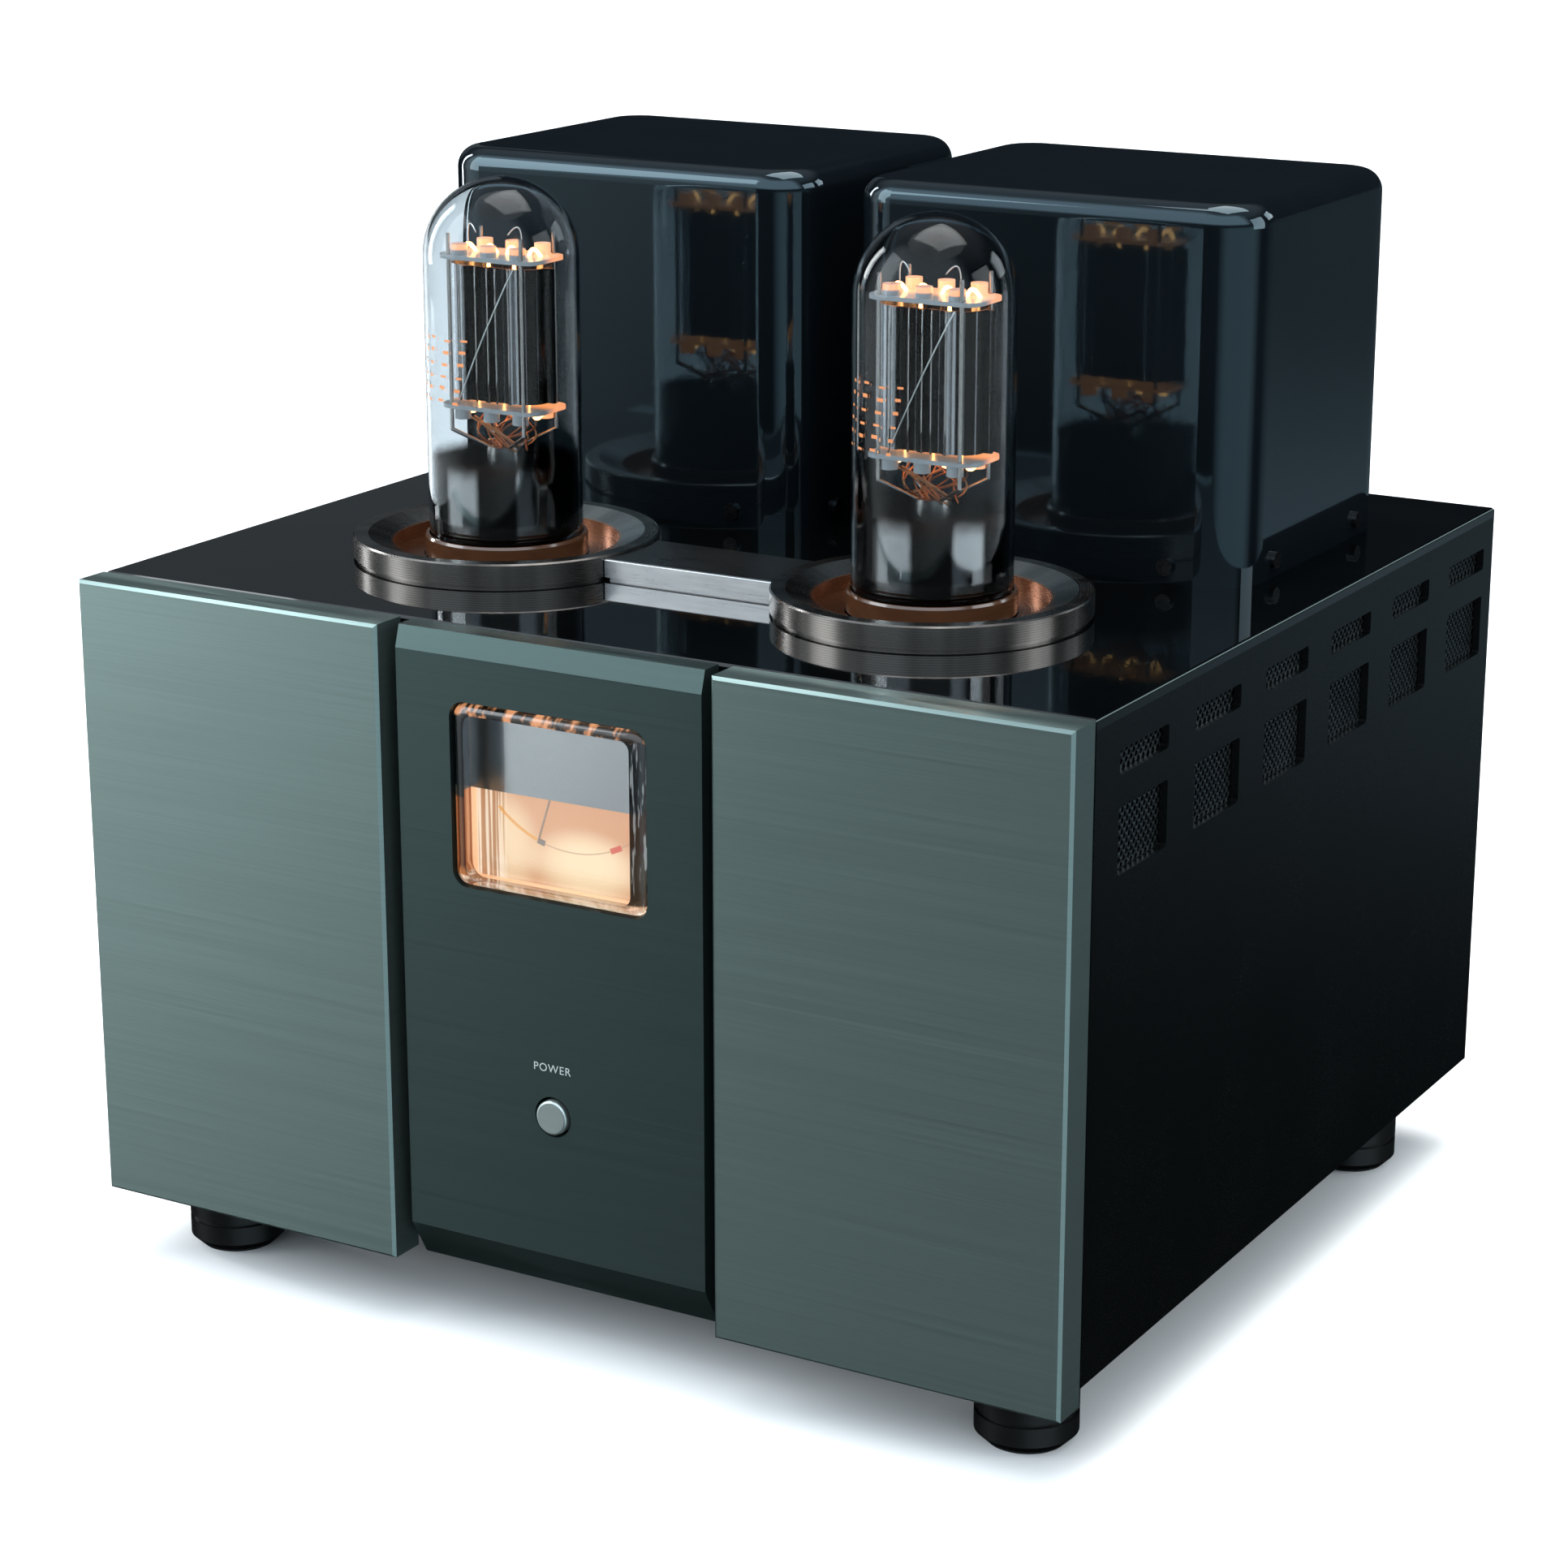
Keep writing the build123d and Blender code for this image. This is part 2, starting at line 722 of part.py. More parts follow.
transformers = {
    "output_transformer": (sides["left"], output_stack),
    "power_transformer": (sides["right"], core_stack),
}
window_width = (core_width - 4 * core_limb) / 2
window_height = core_height - 2 * core_limb
for transformer_name, (side, stack) in transformers.items():
    with BuildPart() as core:
        with Locations((side * cover_x, cover_y, deck_z + core_height / 2)):
            Box(core_width, stack, core_height)
        for window_side in sides.values():
            window_x = side * cover_x + window_side * (core_limb + window_width / 2)
            with Locations((window_x, cover_y, deck_z + core_height / 2)):
                Box(window_width, 2 * stack, window_height, mode=Mode.SUBTRACT)
    save(core.part, f"{transformer_name}_core")
    with BuildPart() as coil:
        coil_bottom = deck_z + core_limb + coil_clearance
        with BuildSketch(Plane.XY.offset(coil_bottom)):
            with Locations((side * cover_x, cover_y)):
                RectangleRounded(
                    2 * (core_limb + window_width - coil_clearance),
                    stack + 2 * window_width,
                    coil_round,
                )
                Rectangle(2 * core_limb, stack, mode=Mode.SUBTRACT)
        extrude(amount=window_height - 2 * coil_clearance)
    save(coil.part, f"{transformer_name}_coil")

# ---- valves: every height is counted from the deck ----
seat_z = deck_z + seat_height
collar_top_z = deck_z + collar_top
barrel_bottom = seat_z - barrel_length
pin_places = PolarLocations(pin_circle, 4, 45)
nut_row = spacer_depth / 2 - nut_radius - 1
lower_spacer_z = deck_z + anode_bottom - spacer_gap - spacer_thickness
upper_spacer_z = deck_z + anode_top + spacer_gap
rod_corners = [(rod_x * a, rod_y * b) for a in (-1, 1) for b in (-1, 1)]
rod_top = upper_spacer_z + spacer_thickness + 2 * nut_height
rod_knee = lower_spacer_z - 2 * nut_height


def valve_glass(x):
    """The envelope: a blown tube with a domed top, drawn in to a neck inside its collar."""
    outer_top = deck_z + glass_top
    shoulder = outer_top - glass_radius
    bottom = deck_z + glass_bottom
    neck_centre = (glass_radius - neck_round, bottom + neck_round)
    with BuildPart() as envelope:
        for inset, mode in ((0, Mode.ADD), (glass_wall, Mode.SUBTRACT)):
            radius = glass_radius - inset
            with BuildSketch(wall_plane(valve_axis_y)):
                with BuildLine():
                    Polyline(
                        (x, outer_top - inset),
                        (x, bottom + inset),
                        (x + glass_radius - neck_round, bottom + inset),
                    )
                    CenterArc((x + neck_centre[0], neck_centre[1]), neck_round - inset, -90, 90)
                    Line((x + radius, bottom + neck_round), (x + radius, shoulder))
                    CenterArc((x, shoulder), radius, 0, 90)
                make_face()
            revolve(axis=Axis((x, valve_axis_y, 0), (0, 0, 1)), mode=mode)
    return envelope.part


def valve_base(x):
    """Collar and barrel in one moulding, with four contact pins below."""
    with BuildPart() as base:
        with BuildSketch(wall_plane(valve_axis_y)):
            with BuildLine():
                Polyline(
                    (x, barrel_bottom),
                    (x + barrel_radius, barrel_bottom),
                    (x + barrel_radius, seat_z),
                    (x + collar_radius, seat_z),
                    (x + collar_radius, collar_top_z - edge_break),
                    (x + collar_radius - edge_break / 2, collar_top_z),
                    (x + glass_radius + collar_gap, collar_top_z),
                    (x + glass_radius + collar_gap, deck_z + glass_bottom),
                    (x, deck_z + glass_bottom),
                    close=True,
                )
            make_face()
        revolve(axis=Axis((x, valve_axis_y, 0), (0, 0, 1)))
        with BuildSketch(Plane(origin=(x, valve_axis_y, barrel_bottom), z_dir=(0, 0, -1))):
            with pin_places:
                Circle(pin_radius)
        extrude(amount=pin_length)
        chamfer(base.faces().group_by(Axis.Z)[0].edges(), pin_radius / 3)
    return base.part


def valve_anode(x):
    """A tall open-ended box of thin ribbed sheet with a flange down each side."""
    with BuildPart() as anode:
        with BuildSketch(Plane(origin=(x, valve_axis_y, deck_z + anode_bottom))):
            RectangleRounded(anode_width, anode_depth, anode_depth / 2 - anode_rib)
            with GridLocations(anode_width / 4, anode_depth, 3, 2):
                Circle(anode_rib)
            Rectangle(anode_width + 4 * anode_rib, 2 * anode_wall)
            RectangleRounded(
                anode_width - 2 * anode_wall,
                anode_depth - 2 * anode_wall,
                anode_depth / 2 - anode_rib - anode_wall,
                mode=Mode.SUBTRACT,
            )
        extrude(amount=anode_top - anode_bottom)
    return anode.part


def valve_spacers(x):
    """Two ceramic bridges with six nuts each, above and below the anode."""
    with BuildPart() as spacers:
        for level, nut_level in (
            (upper_spacer_z, upper_spacer_z + spacer_thickness),
            (lower_spacer_z, lower_spacer_z - nut_height),
        ):
            with BuildSketch(Plane(origin=(x, valve_axis_y, level))):
                RectangleRounded(spacer_width, spacer_depth, spacer_corner)
                with Locations(*rod_corners):
                    Circle(rod_radius + collar_gap, mode=Mode.SUBTRACT)
            extrude(amount=spacer_thickness)
            with BuildSketch(Plane(origin=(x, valve_axis_y, nut_level))):
                with GridLocations(nut_spacing, 2 * nut_row, 3, 2):
                    Circle(nut_radius)
            extrude(amount=nut_height)
    return spacers.part


def valve_filament(x):
    """An M-shaped wire that shows in the gaps above and below the anode."""
    low = lower_spacer_z + spacer_thickness + filament_radius
    high = upper_spacer_z - filament_radius
    turns = [
        (x + step * filament_half_width / 2, valve_axis_y, low if step % 2 == 0 else high)
        for step in range(-2, 3)
    ]
    with BuildPart() as filament:
        for start, end in zip(turns, turns[1:]):
            run = Vector(*end) - Vector(*start)
            with BuildSketch(Plane(origin=start, z_dir=run)):
                Circle(filament_radius)
            extrude(amount=run.length)
        with Locations(*turns):
            Sphere(filament_radius)
    return filament.part


def valve_supports(x):
    """Four rods that carry the electrodes, drawn in to a glass stem at the foot."""
    with BuildPart() as supports:
        for corner_x, corner_y in rod_corners:
            knee = (x + corner_x, valve_axis_y + corner_y, rod_knee)
            root = (
                x + corner_x * stem_top_radius / (2 * rod_x),
                valve_axis_y + corner_y * stem_top_radius / (2 * rod_y),
                deck_z + stem_top - 1,
            )
            tip = (knee[0], knee[1], rod_top)
            for start, end in ((root, knee), (knee, tip)):
                run = Vector(*end) - Vector(*start)
                with BuildSketch(Plane(origin=start, z_dir=run)):
                    Circle(rod_radius)
                extrude(amount=run.length)
            with Locations(knee):
                Sphere(rod_radius)
        with BuildSketch(Plane(origin=(x, valve_axis_y, deck_z + glass_bottom + glass_wall))):
            Circle(stem_base_radius)
        with BuildSketch(Plane(origin=(x, valve_axis_y, deck_z + stem_top))):
            Circle(stem_top_radius)
        loft()
    return supports.part


def valve_socket(x):
    """A ceramic cup under the deck with four contact holes through its floor."""
    with BuildPart() as socket:
        socket_bottom = barrel_bottom - pin_clearance - socket_floor
        with BuildSketch(Plane(origin=(x, valve_axis_y, socket_bottom))):
            Circle(socket_radius)
            with pin_places:
                Circle(pin_radius + pin_clearance, mode=Mode.SUBTRACT)
        extrude(amount=socket_floor)
        with BuildSketch(Plane(origin=(x, valve_axis_y, socket_bottom + socket_floor))):
            Circle(socket_radius)
            Circle(barrel_radius + barrel_clearance, mode=Mode.SUBTRACT)
        extrude(amount=under_deck - socket_bottom - socket_floor)
    return socket.part


valve_pieces = {
    "glass": valve_glass,
    "base": valve_base,
    "anode": valve_anode,
    "spacers": valve_spacers,
    "filament": valve_filament,
    "supports": valve_supports,
    "socket": valve_socket,
}
for side_name, side in sides.items():
    for piece_name, make_piece in valve_pieces.items():
        save(make_piece(side * valve_x), f"valve_{piece_name}_{side_name}")

# ---- inside the chassis: board, standoffs, capacitors and two small driver valves ----
board_y = front_y + board_front + board_depth / 2
board_z = floor_z + standoff_height
board_top = board_z + board_thickness
standoff_grid = (board_width - 2 * standoff_inset, board_depth - 2 * standoff_inset)
with BuildPart() as board_standoffs:
    with BuildSketch(Plane(origin=(0, board_y, floor_z))):
        with GridLocations(*standoff_grid, 2, 2):
            Circle(standoff_radius)
    extrude(amount=standoff_height)
save(board_standoffs.part, "board_standoffs")

with BuildPart() as circuit_board:
    with BuildSketch(Plane(origin=(0, board_y, board_z))):
        Rectangle(board_width, board_depth)
    extrude(amount=board_thickness)
save(circuit_board.part, "circuit_board")

capacitor_y = board_y + board_depth / 2 - standoff_inset - capacitor_radius
with BuildPart() as filter_capacitors:
    with BuildSketch(Plane(origin=(0, capacitor_y, board_top))):
        with GridLocations(capacitor_spacing, 1, capacitor_count, 1):
            Circle(capacitor_radius)
    extrude(amount=capacitor_height)
    chamfer(filter_capacitors.faces().group_by(Axis.Z)[-1].edges(), edge_break)
save(filter_capacitors.part, "filter_capacitors")

driver_y = board_y - board_depth / 2 + standoff_inset + 2 * driver_base_radius
with BuildPart() as driver_valves:
    with BuildSketch(Plane(origin=(0, driver_y, board_top))):
        with GridLocations(driver_spacing, 1, 2, 1):
            Circle(driver_base_radius)
    extrude(amount=driver_base_height)
    with BuildSketch(Plane(origin=(0, driver_y, board_top + driver_base_height))):
        with GridLocations(driver_spacing, 1, 2, 1):
            Circle(driver_radius)
    extrude(amount=driver_height)
    fillet(driver_valves.faces().group_by(Axis.Z)[-1].edges(), driver_radius / 2)
save(driver_valves.part, "driver_valves")

# ---- rear connections ----
inlet_place = (inlet_x, base_z + inlet_z)
socket_floor_y = rear_y + inlet_flange_thickness - inlet_socket_depth
with BuildPart() as mains_inlet:
    with BuildSketch(wall_plane(rear_y + inlet_flange_thickness)):
        with Locations(inlet_place):
            Rectangle(*inlet_flange)
    extrude(amount=inlet_flange_thickness)
    with BuildSketch(wall_plane(rear_y)):
        with Locations(inlet_place):
            Rectangle(*inlet_body)
    extrude(amount=inlet_body_depth)
    with BuildSketch(wall_plane(rear_y + inlet_flange_thickness)):
        with Locations(inlet_place):
            Rectangle(*inlet_socket)
    extrude(amount=inlet_socket_depth, mode=Mode.SUBTRACT)
    with BuildSketch(wall_plane(socket_floor_y + inlet_pin_length)):
        with Locations(inlet_place):
            with GridLocations(inlet_pin_spacing, 1, 3, 1):
                Rectangle(*inlet_pin)
    extrude(amount=inlet_pin_length)
save(mains_inlet.part, "mains_inlet")

with BuildPart() as input_jack:
    for far_y, near_y, radius in (
        (rear_y + jack_flange, rear_y, jack_flange_radius),
        (rear_y + jack_flange + jack_length, rear_y + jack_flange, jack_radius),
        (rear_y, inside_rear - jack_nut, jack_thread_radius),
        (inside_rear, inside_rear - jack_nut, jack_nut_radius),
    ):
        with BuildSketch(wall_plane(far_y)):
            with Locations((jack_x, base_z + jack_z)):
                Circle(radius)
        extrude(amount=far_y - near_y)
    with BuildSketch(wall_plane(rear_y + jack_flange + jack_length)):
        with Locations((jack_x, base_z + jack_z)):
            Circle(jack_bore_radius)
    extrude(amount=jack_length, mode=Mode.SUBTRACT)
save(input_jack.part, "input_jack")

post_places = {
    "red": (post_x - post_spacing / 2, base_z + post_z),
    "black": (post_x + post_spacing / 2, base_z + post_z),
}
post_end = rear_y + post_flange + cap_gap + cap_length - edge_break
with BuildPart() as terminal_posts:
    for far_y, near_y, radius in (
        (rear_y + post_flange, rear_y, post_flange_radius),
        (post_end, rear_y + post_flange, post_radius),
        (rear_y, inside_rear - post_nut, post_thread_radius),
        (inside_rear, inside_rear - post_nut, post_nut_radius),
    ):
        with BuildSketch(wall_plane(far_y)):
            with Locations(*post_places.values()):
                Circle(radius)
        extrude(amount=far_y - near_y)
    with BuildSketch(wall_plane(post_end)):
        with Locations(*post_places.values()):
            Circle(post_bore_radius)
    extrude(amount=post_bore_depth, mode=Mode.SUBTRACT)
save(terminal_posts.part, "terminal_posts")

for colour, place in post_places.items():
    with BuildPart() as terminal_cap:
        with BuildSketch(wall_plane(rear_y + post_flange + cap_gap + cap_length)):
            with Locations(place):
                Circle(cap_radius)
                Circle(post_radius + cap_clearance, mode=Mode.SUBTRACT)
                with PolarLocations(cap_radius, cap_flutes):
                    Circle(cap_flute_radius, mode=Mode.SUBTRACT)
        extrude(amount=cap_length)
    save(terminal_cap.part, f"terminal_cap_{colour}")
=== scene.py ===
import math

import bmesh
import bpy
import numpy as np
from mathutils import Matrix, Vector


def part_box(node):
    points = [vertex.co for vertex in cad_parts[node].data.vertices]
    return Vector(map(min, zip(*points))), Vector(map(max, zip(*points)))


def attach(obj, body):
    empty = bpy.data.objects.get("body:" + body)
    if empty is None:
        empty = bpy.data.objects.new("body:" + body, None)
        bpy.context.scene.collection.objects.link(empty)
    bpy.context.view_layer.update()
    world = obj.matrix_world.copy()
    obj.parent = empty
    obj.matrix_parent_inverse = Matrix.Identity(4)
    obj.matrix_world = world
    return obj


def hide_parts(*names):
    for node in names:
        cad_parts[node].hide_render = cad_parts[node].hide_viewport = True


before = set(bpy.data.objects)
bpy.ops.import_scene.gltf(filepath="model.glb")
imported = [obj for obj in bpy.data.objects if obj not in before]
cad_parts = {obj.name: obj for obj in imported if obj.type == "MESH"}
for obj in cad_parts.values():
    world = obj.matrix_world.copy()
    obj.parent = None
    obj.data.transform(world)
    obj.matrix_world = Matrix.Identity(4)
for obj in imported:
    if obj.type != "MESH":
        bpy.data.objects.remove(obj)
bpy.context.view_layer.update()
print("frame loaded:", len(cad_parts), "nodes")

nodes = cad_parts
valveSides = ("left", "right")
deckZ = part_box("top_plate")[1].z


# sockets as numbers

class Sock:  # a node socket that takes part in Python arithmetic
    def __init__(self, socket):
        self.socket = socket

    def node(self, kind, settings, sockets, output=0):  # adds any node to this socket's tree
        tree = self.socket.id_data
        new = tree.nodes.new(kind)
        for name, value in settings.items():
            setattr(new, name, value)
        for name, value in sockets.items():
            if isinstance(value, Sock):
                tree.links.new(value.socket, new.inputs[name])
            else:
                new.inputs[name].default_value = value
        return Sock(new.outputs[output])

    def math(self, operation, *others):
        return self.node("ShaderNodeMath", {"operation": operation}, dict(enumerate((self, *others))))

    def __add__(self, other):
        return self.math("ADD", other)

    def __sub__(self, other):
        return self.math("SUBTRACT", other)

    def __rsub__(self, other):
        return self * -1 + other

    def __mul__(self, other):
        return self.math("MULTIPLY", other)

    def __truediv__(self, other):
        return self.math("DIVIDE", other)

    def __pow__(self, other):
        return self.math("POWER", other)

    __radd__ = __add__
    __rmul__ = __mul__

    def axes(self):
        split = self.node("ShaderNodeSeparateXYZ", {}, {0: self}).socket.node
        return [Sock(out) for out in split.outputs]

    def scaled(self, x, y, z):
        return self.node("ShaderNodeVectorMath", {"operation": "MULTIPLY"}, {0: self, 1: (x, y, z)})

    def moved(self, x, y, z):
        return self.node("ShaderNodeVectorMath", {"operation": "ADD"}, {0: self, 1: (x, y, z)})

    def noise(self, scale, detail=3.0):
        return self.node("ShaderNodeTexNoise", {},
                         {"Vector": self, "Scale": scale, "Detail": detail, "Roughness": 0.55})

    def cells(self, scale):  # distance to the nearest of scattered points
        return self.node("ShaderNodeTexVoronoi", {}, {"Vector": self, "Scale": scale})

    def step(self, low, high):  # 0 below low, 1 above high, smooth between; reversed if low > high
        if low < high:
            return self.node("ShaderNodeMapRange", {"interpolation_type": "SMOOTHSTEP"},
                             {"Value": self, "From Min": low, "From Max": high})
        return 1 - self.step(high, low)

    def blend(self, first, second):  # this number mixes two colours
        return self.node("ShaderNodeMix", {"data_type": "RGBA"},
                         {0: self, 6: asColour(first), 7: asColour(second)}, 2)

    def bump(self, strength, distance):
        return self.node("ShaderNodeBump", {}, {"Strength": strength, "Distance": distance, "Height": self})


def asColour(value):
    return value if isinstance(value, Sock) else (*value, 1)


def shaded(colour, factor):  # a colour made darker or lighter
    return tuple(min(1, c * factor) for c in colour)


def startMaterial(name):  # a new material, given as its Object coordinates
    material = bpy.data.materials.new(name)
    material.use_nodes = True
    material.node_tree.nodes.clear()
    coordinates = material.node_tree.nodes.new("ShaderNodeTexCoord")
    return Sock(coordinates.outputs["Object"])


def endMaterial(place, sockets):  # a Principled shader with these sockets, on the output
    for name in ("Base Color", "Emission Color", "Specular Tint"):
        if name in sockets:
            sockets[name] = asColour(sockets[name])
    shader = place.node("ShaderNodeBsdfPrincipled", {}, sockets)
    tree = place.socket.id_data
    tree.links.new(shader.socket, tree.nodes.new("ShaderNodeOutputMaterial").inputs["Surface"])
    return next(m for m in bpy.data.materials if m.node_tree == tree)


def paint(material, *names):  # gives CAD nodes a material
    for name in names:
        mesh = nodes[name].data
        mesh.materials.clear()
        mesh.materials.append(material)


# surfaces from numpy

def inScene(name, data):  # a new object in the scene
    made = bpy.data.objects.new(name, data)
    bpy.context.scene.collection.objects.link(made)
    return made


def fixNormals(mesh):  # faces of closed shapes all point outwards
    work = bmesh.new()
    work.from_mesh(mesh)
    bmesh.ops.recalc_face_normals(work, faces=work.faces)
    work.to_mesh(mesh)
    work.free()


def meshPiece(name, points, faces, material, body, smooth=True, closed=False):
    mesh = bpy.data.meshes.new(name)
    mesh.from_pydata(points.reshape(-1, 3).tolist(), [], faces)
    if closed:
        fixNormals(mesh)
    mesh.polygons.foreach_set("use_smooth", np.full(len(mesh.polygons), smooth))
    mesh.materials.append(material)
    piece = inScene(name, mesh)
    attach(piece, body)
    return piece


def gridFaces(rows, columns, closeRows=False, closeColumns=False):
    # quads between neighbours of a grid of rows x columns points, joined round where a way is closed
    r = np.arange(rows if closeRows else rows - 1)[:, None]
    c = np.arange(columns if closeColumns else columns - 1)[None, :]
    r2 = (r + 1) % rows
    c2 = (c + 1) % columns
    quads = np.stack([r * columns + c, r * columns + c2, r2 * columns + c2, r2 * columns + c], axis=-1)
    return quads.reshape(-1, 4)


def lathe(profile, centre, turns):
    # each profile point (radius, height) is carried round the upright axis through centre
    angle = np.linspace(0, 2 * math.pi, turns, endpoint=False)[None, :]
    radius = profile[:, :1]
    height = profile[:, 1:]
    return np.stack([centre[0] + radius * np.cos(angle), centre[1] + radius * np.sin(angle),
                     height + 0 * angle], axis=-1)


def tube(path, radius, sides):
    # a circle of the given radius, square to the path, is carried along the path's points;
    # its first direction is the path's direction crossed with a fixed slanted line
    forward = np.gradient(path, axis=0)
    forward /= np.linalg.norm(forward, axis=1, keepdims=True)
    across = np.cross(forward, [0.31, 0.92, 0.24])
    across /= np.linalg.norm(across, axis=1, keepdims=True)
    up = np.cross(forward, across)
    angle = np.linspace(0, 2 * math.pi, sides, endpoint=False)[None, :, None]
    return path[:, None, :] + radius * (np.cos(angle) * across[:, None, :] + np.sin(angle) * up[:, None, :])


def bend(start, middle, end, count=14):
    # a quadratic curve that leaves start towards middle and comes into end
    t = np.linspace(0, 1, count)[:, None]
    return (1 - t) ** 2 * np.array(start) + 2 * t * (1 - t) * np.array(middle) + t ** 2 * np.array(end)


def tubesPiece(name, paths, radius, material, body, sides=8):
    # several tubes joined into one piece, both ends of each closed by one face
    points, faces, first = [], [], 0
    for path in paths:
        points.append(tube(path, radius, sides).reshape(-1, 3))
        faces += (gridFaces(len(path), sides, closeColumns=True) + first).tolist()
        faces.append((np.arange(sides)[::-1] + first).tolist())
        faces.append((np.arange(sides) + first + (len(path) - 1) * sides).tolist())
        first += len(path) * sides
    meshPiece(name, np.concatenate(points), faces, material, body, closed=True)


# front plates: brushed, grey-green anodised aluminium

plateLook = {
    "wing": {"colour": (0.225, 0.300, 0.288), "contrast": 0.60},
    "centre": {"colour": (0.072, 0.106, 0.103), "contrast": 0.375},
    "button": {"colour": (0.50, 0.58, 0.57), "contrast": 0.15},
    "roughness": 0.30,
    "roughSpread": 0.10,
    "anisotropic": 0.75,
    "streakLength": 0.12,  # metres
    "streakWidth": 0.00032,
    "shades": (0.72, 1.28),  # darkest and lightest streak, as shares of the colour
}


def brushedPlate(name, part):
    place = startMaterial(name)
    look = plateLook[part]
    long = 1 / plateLook["streakLength"]
    fine = place.scaled(long, long, 1 / plateLook["streakWidth"]).noise(1.0, 2.0)
    broad = place.scaled(long / 4, long / 4, 0.3 / plateLook["streakWidth"]).noise(1.0, 3.0)
    streaks = fine * 0.75 + broad * 0.25
    shade = (streaks - 0.5) * look["contrast"] + 0.5
    dark, light = (shaded(look["colour"], share) for share in plateLook["shades"])
    return endMaterial(place, {
        "Base Color": shade.blend(dark, light),
        "Metallic": 0.92,
        "Roughness": (streaks - 0.5) * plateLook["roughSpread"] + plateLook["roughness"],
        "Anisotropic": plateLook["anisotropic"],
        "Anisotropic Rotation": 0.25,
        "Normal": fine.bump(0.006, 0.0001),
    })


paint(brushedPlate("frontAnodise", "wing"), "front_wing_left", "front_wing_right")
paint(brushedPlate("buttonMetal", "button"), "power_button")
paint(brushedPlate("centreAnodise", "centre"), "centre_panel")
print("front plates painted")


# painted sheet metal

glossLook = {
    "deckGloss": {"colour": (0.0007, 0.0009, 0.0010), "rough": 0.028, "peel": 0.010, "dust": 0.004,
                  "specular": 0.55, "tint": (1, 1, 1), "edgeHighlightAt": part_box("top_plate")[1].x},
    "coverGloss": {"colour": (0.0024, 0.0038, 0.0050), "rough": 0.05, "peel": 0.014, "dust": 0.006,
                   "specular": 0.6, "tint": (0.60, 0.86, 1.0), "edgeHighlightAt": 1.0},  # out of reach: no painted edge highlight
    "dustColour": (0.11, 0.13, 0.14),
    "edgeHighlightColour": (0.15, 0.20, 0.20),
    "edgeHighlightWidth": (0.0006, 0.0003),  # from the plate's side: where the painted highlight line starts, and is full
    "edgeHighlightHeight": (0.0009, 0.0005),  # the same, down from the deck's face
}
satinLook = {
    "caseSatin": {"colour": (0.0007, 0.0010, 0.0011), "rough": 0.25, "specular": 0.19, "grain": 1400.0},
    "blackSteel": {"colour": (0.003, 0.0035, 0.0036), "rough": 0.42, "specular": 0.4, "grain": 1500.0},
    "rubber": {"colour": (0.006, 0.006, 0.006), "rough": 0.8, "specular": 0.25, "grain": 1800.0},
}


def glossPaint(name):
    # smooth paint: faint orange peel in the bump, a film of dust and wipe marks in the roughness,
    # and a painted highlight line along the top of the deck's side edge, at the given distance from the middle
    place = startMaterial(name)
    look = glossLook[name]
    x, z = place.axes()[::2]
    start, full = (look["edgeHighlightAt"] - inset for inset in glossLook["edgeHighlightWidth"])
    low, high = (deckZ - depth for depth in glossLook["edgeHighlightHeight"])
    # painted highlight: a pale line along the top of the deck's side edge
    edgeHighlight = x.math("ABSOLUTE").step(start, full) * z.step(low, high)
    film = place.scaled(1, 1.7, 1).noise(14.0, 5.0)
    speck = place.cells(900.0).step(0.10, 0.04)
    dusty = film.step(0.35, 0.75) * look["dust"] + speck * look["dust"] * 0.5
    skin = dusty.blend(look["colour"], glossLook["dustColour"])
    return endMaterial(place, {
        "Base Color": edgeHighlight.blend(skin, glossLook["edgeHighlightColour"]),
        "Roughness": film * look["rough"] * 0.8 + look["rough"] * 0.6 + speck * 0.1,
        "Specular IOR Level": look["specular"],
        "Specular Tint": look["tint"],
        "Normal": place.noise(260.0, 2.0).bump(look["peel"], 0.0002),
    })


def satinPaint(name):
    # powder coat: a fine pebbled skin with slightly varied tone
    place = startMaterial(name)
    look = satinLook[name]
    pebble = place.noise(look["grain"])
    cloud = place.noise(11.0)
    light = tuple(c * 1.8 + 0.0015 for c in look["colour"])
    return endMaterial(place, {
        "Base Color": (pebble * 0.5 + cloud * 0.5).blend(look["colour"], light),
        "Roughness": pebble * 0.14 + cloud * 0.08 + look["rough"] - 0.11,
        "Specular IOR Level": look["specular"],
        "Normal": pebble.bump(0.16, 0.0002),
    })


paint(glossPaint("deckGloss"), "top_plate")
paint(glossPaint("coverGloss"), "transformer_cover_left", "transformer_cover_right")
paint(satinPaint("caseSatin"), "side_panel_left", "side_panel_right")
paint(satinPaint("blackSteel"), "rear_panel", "front_subpanel", "base_plate")
paint(satinPaint("rubber"), "foot_pads")
print("sheet metal painted")


# bare and turned metal

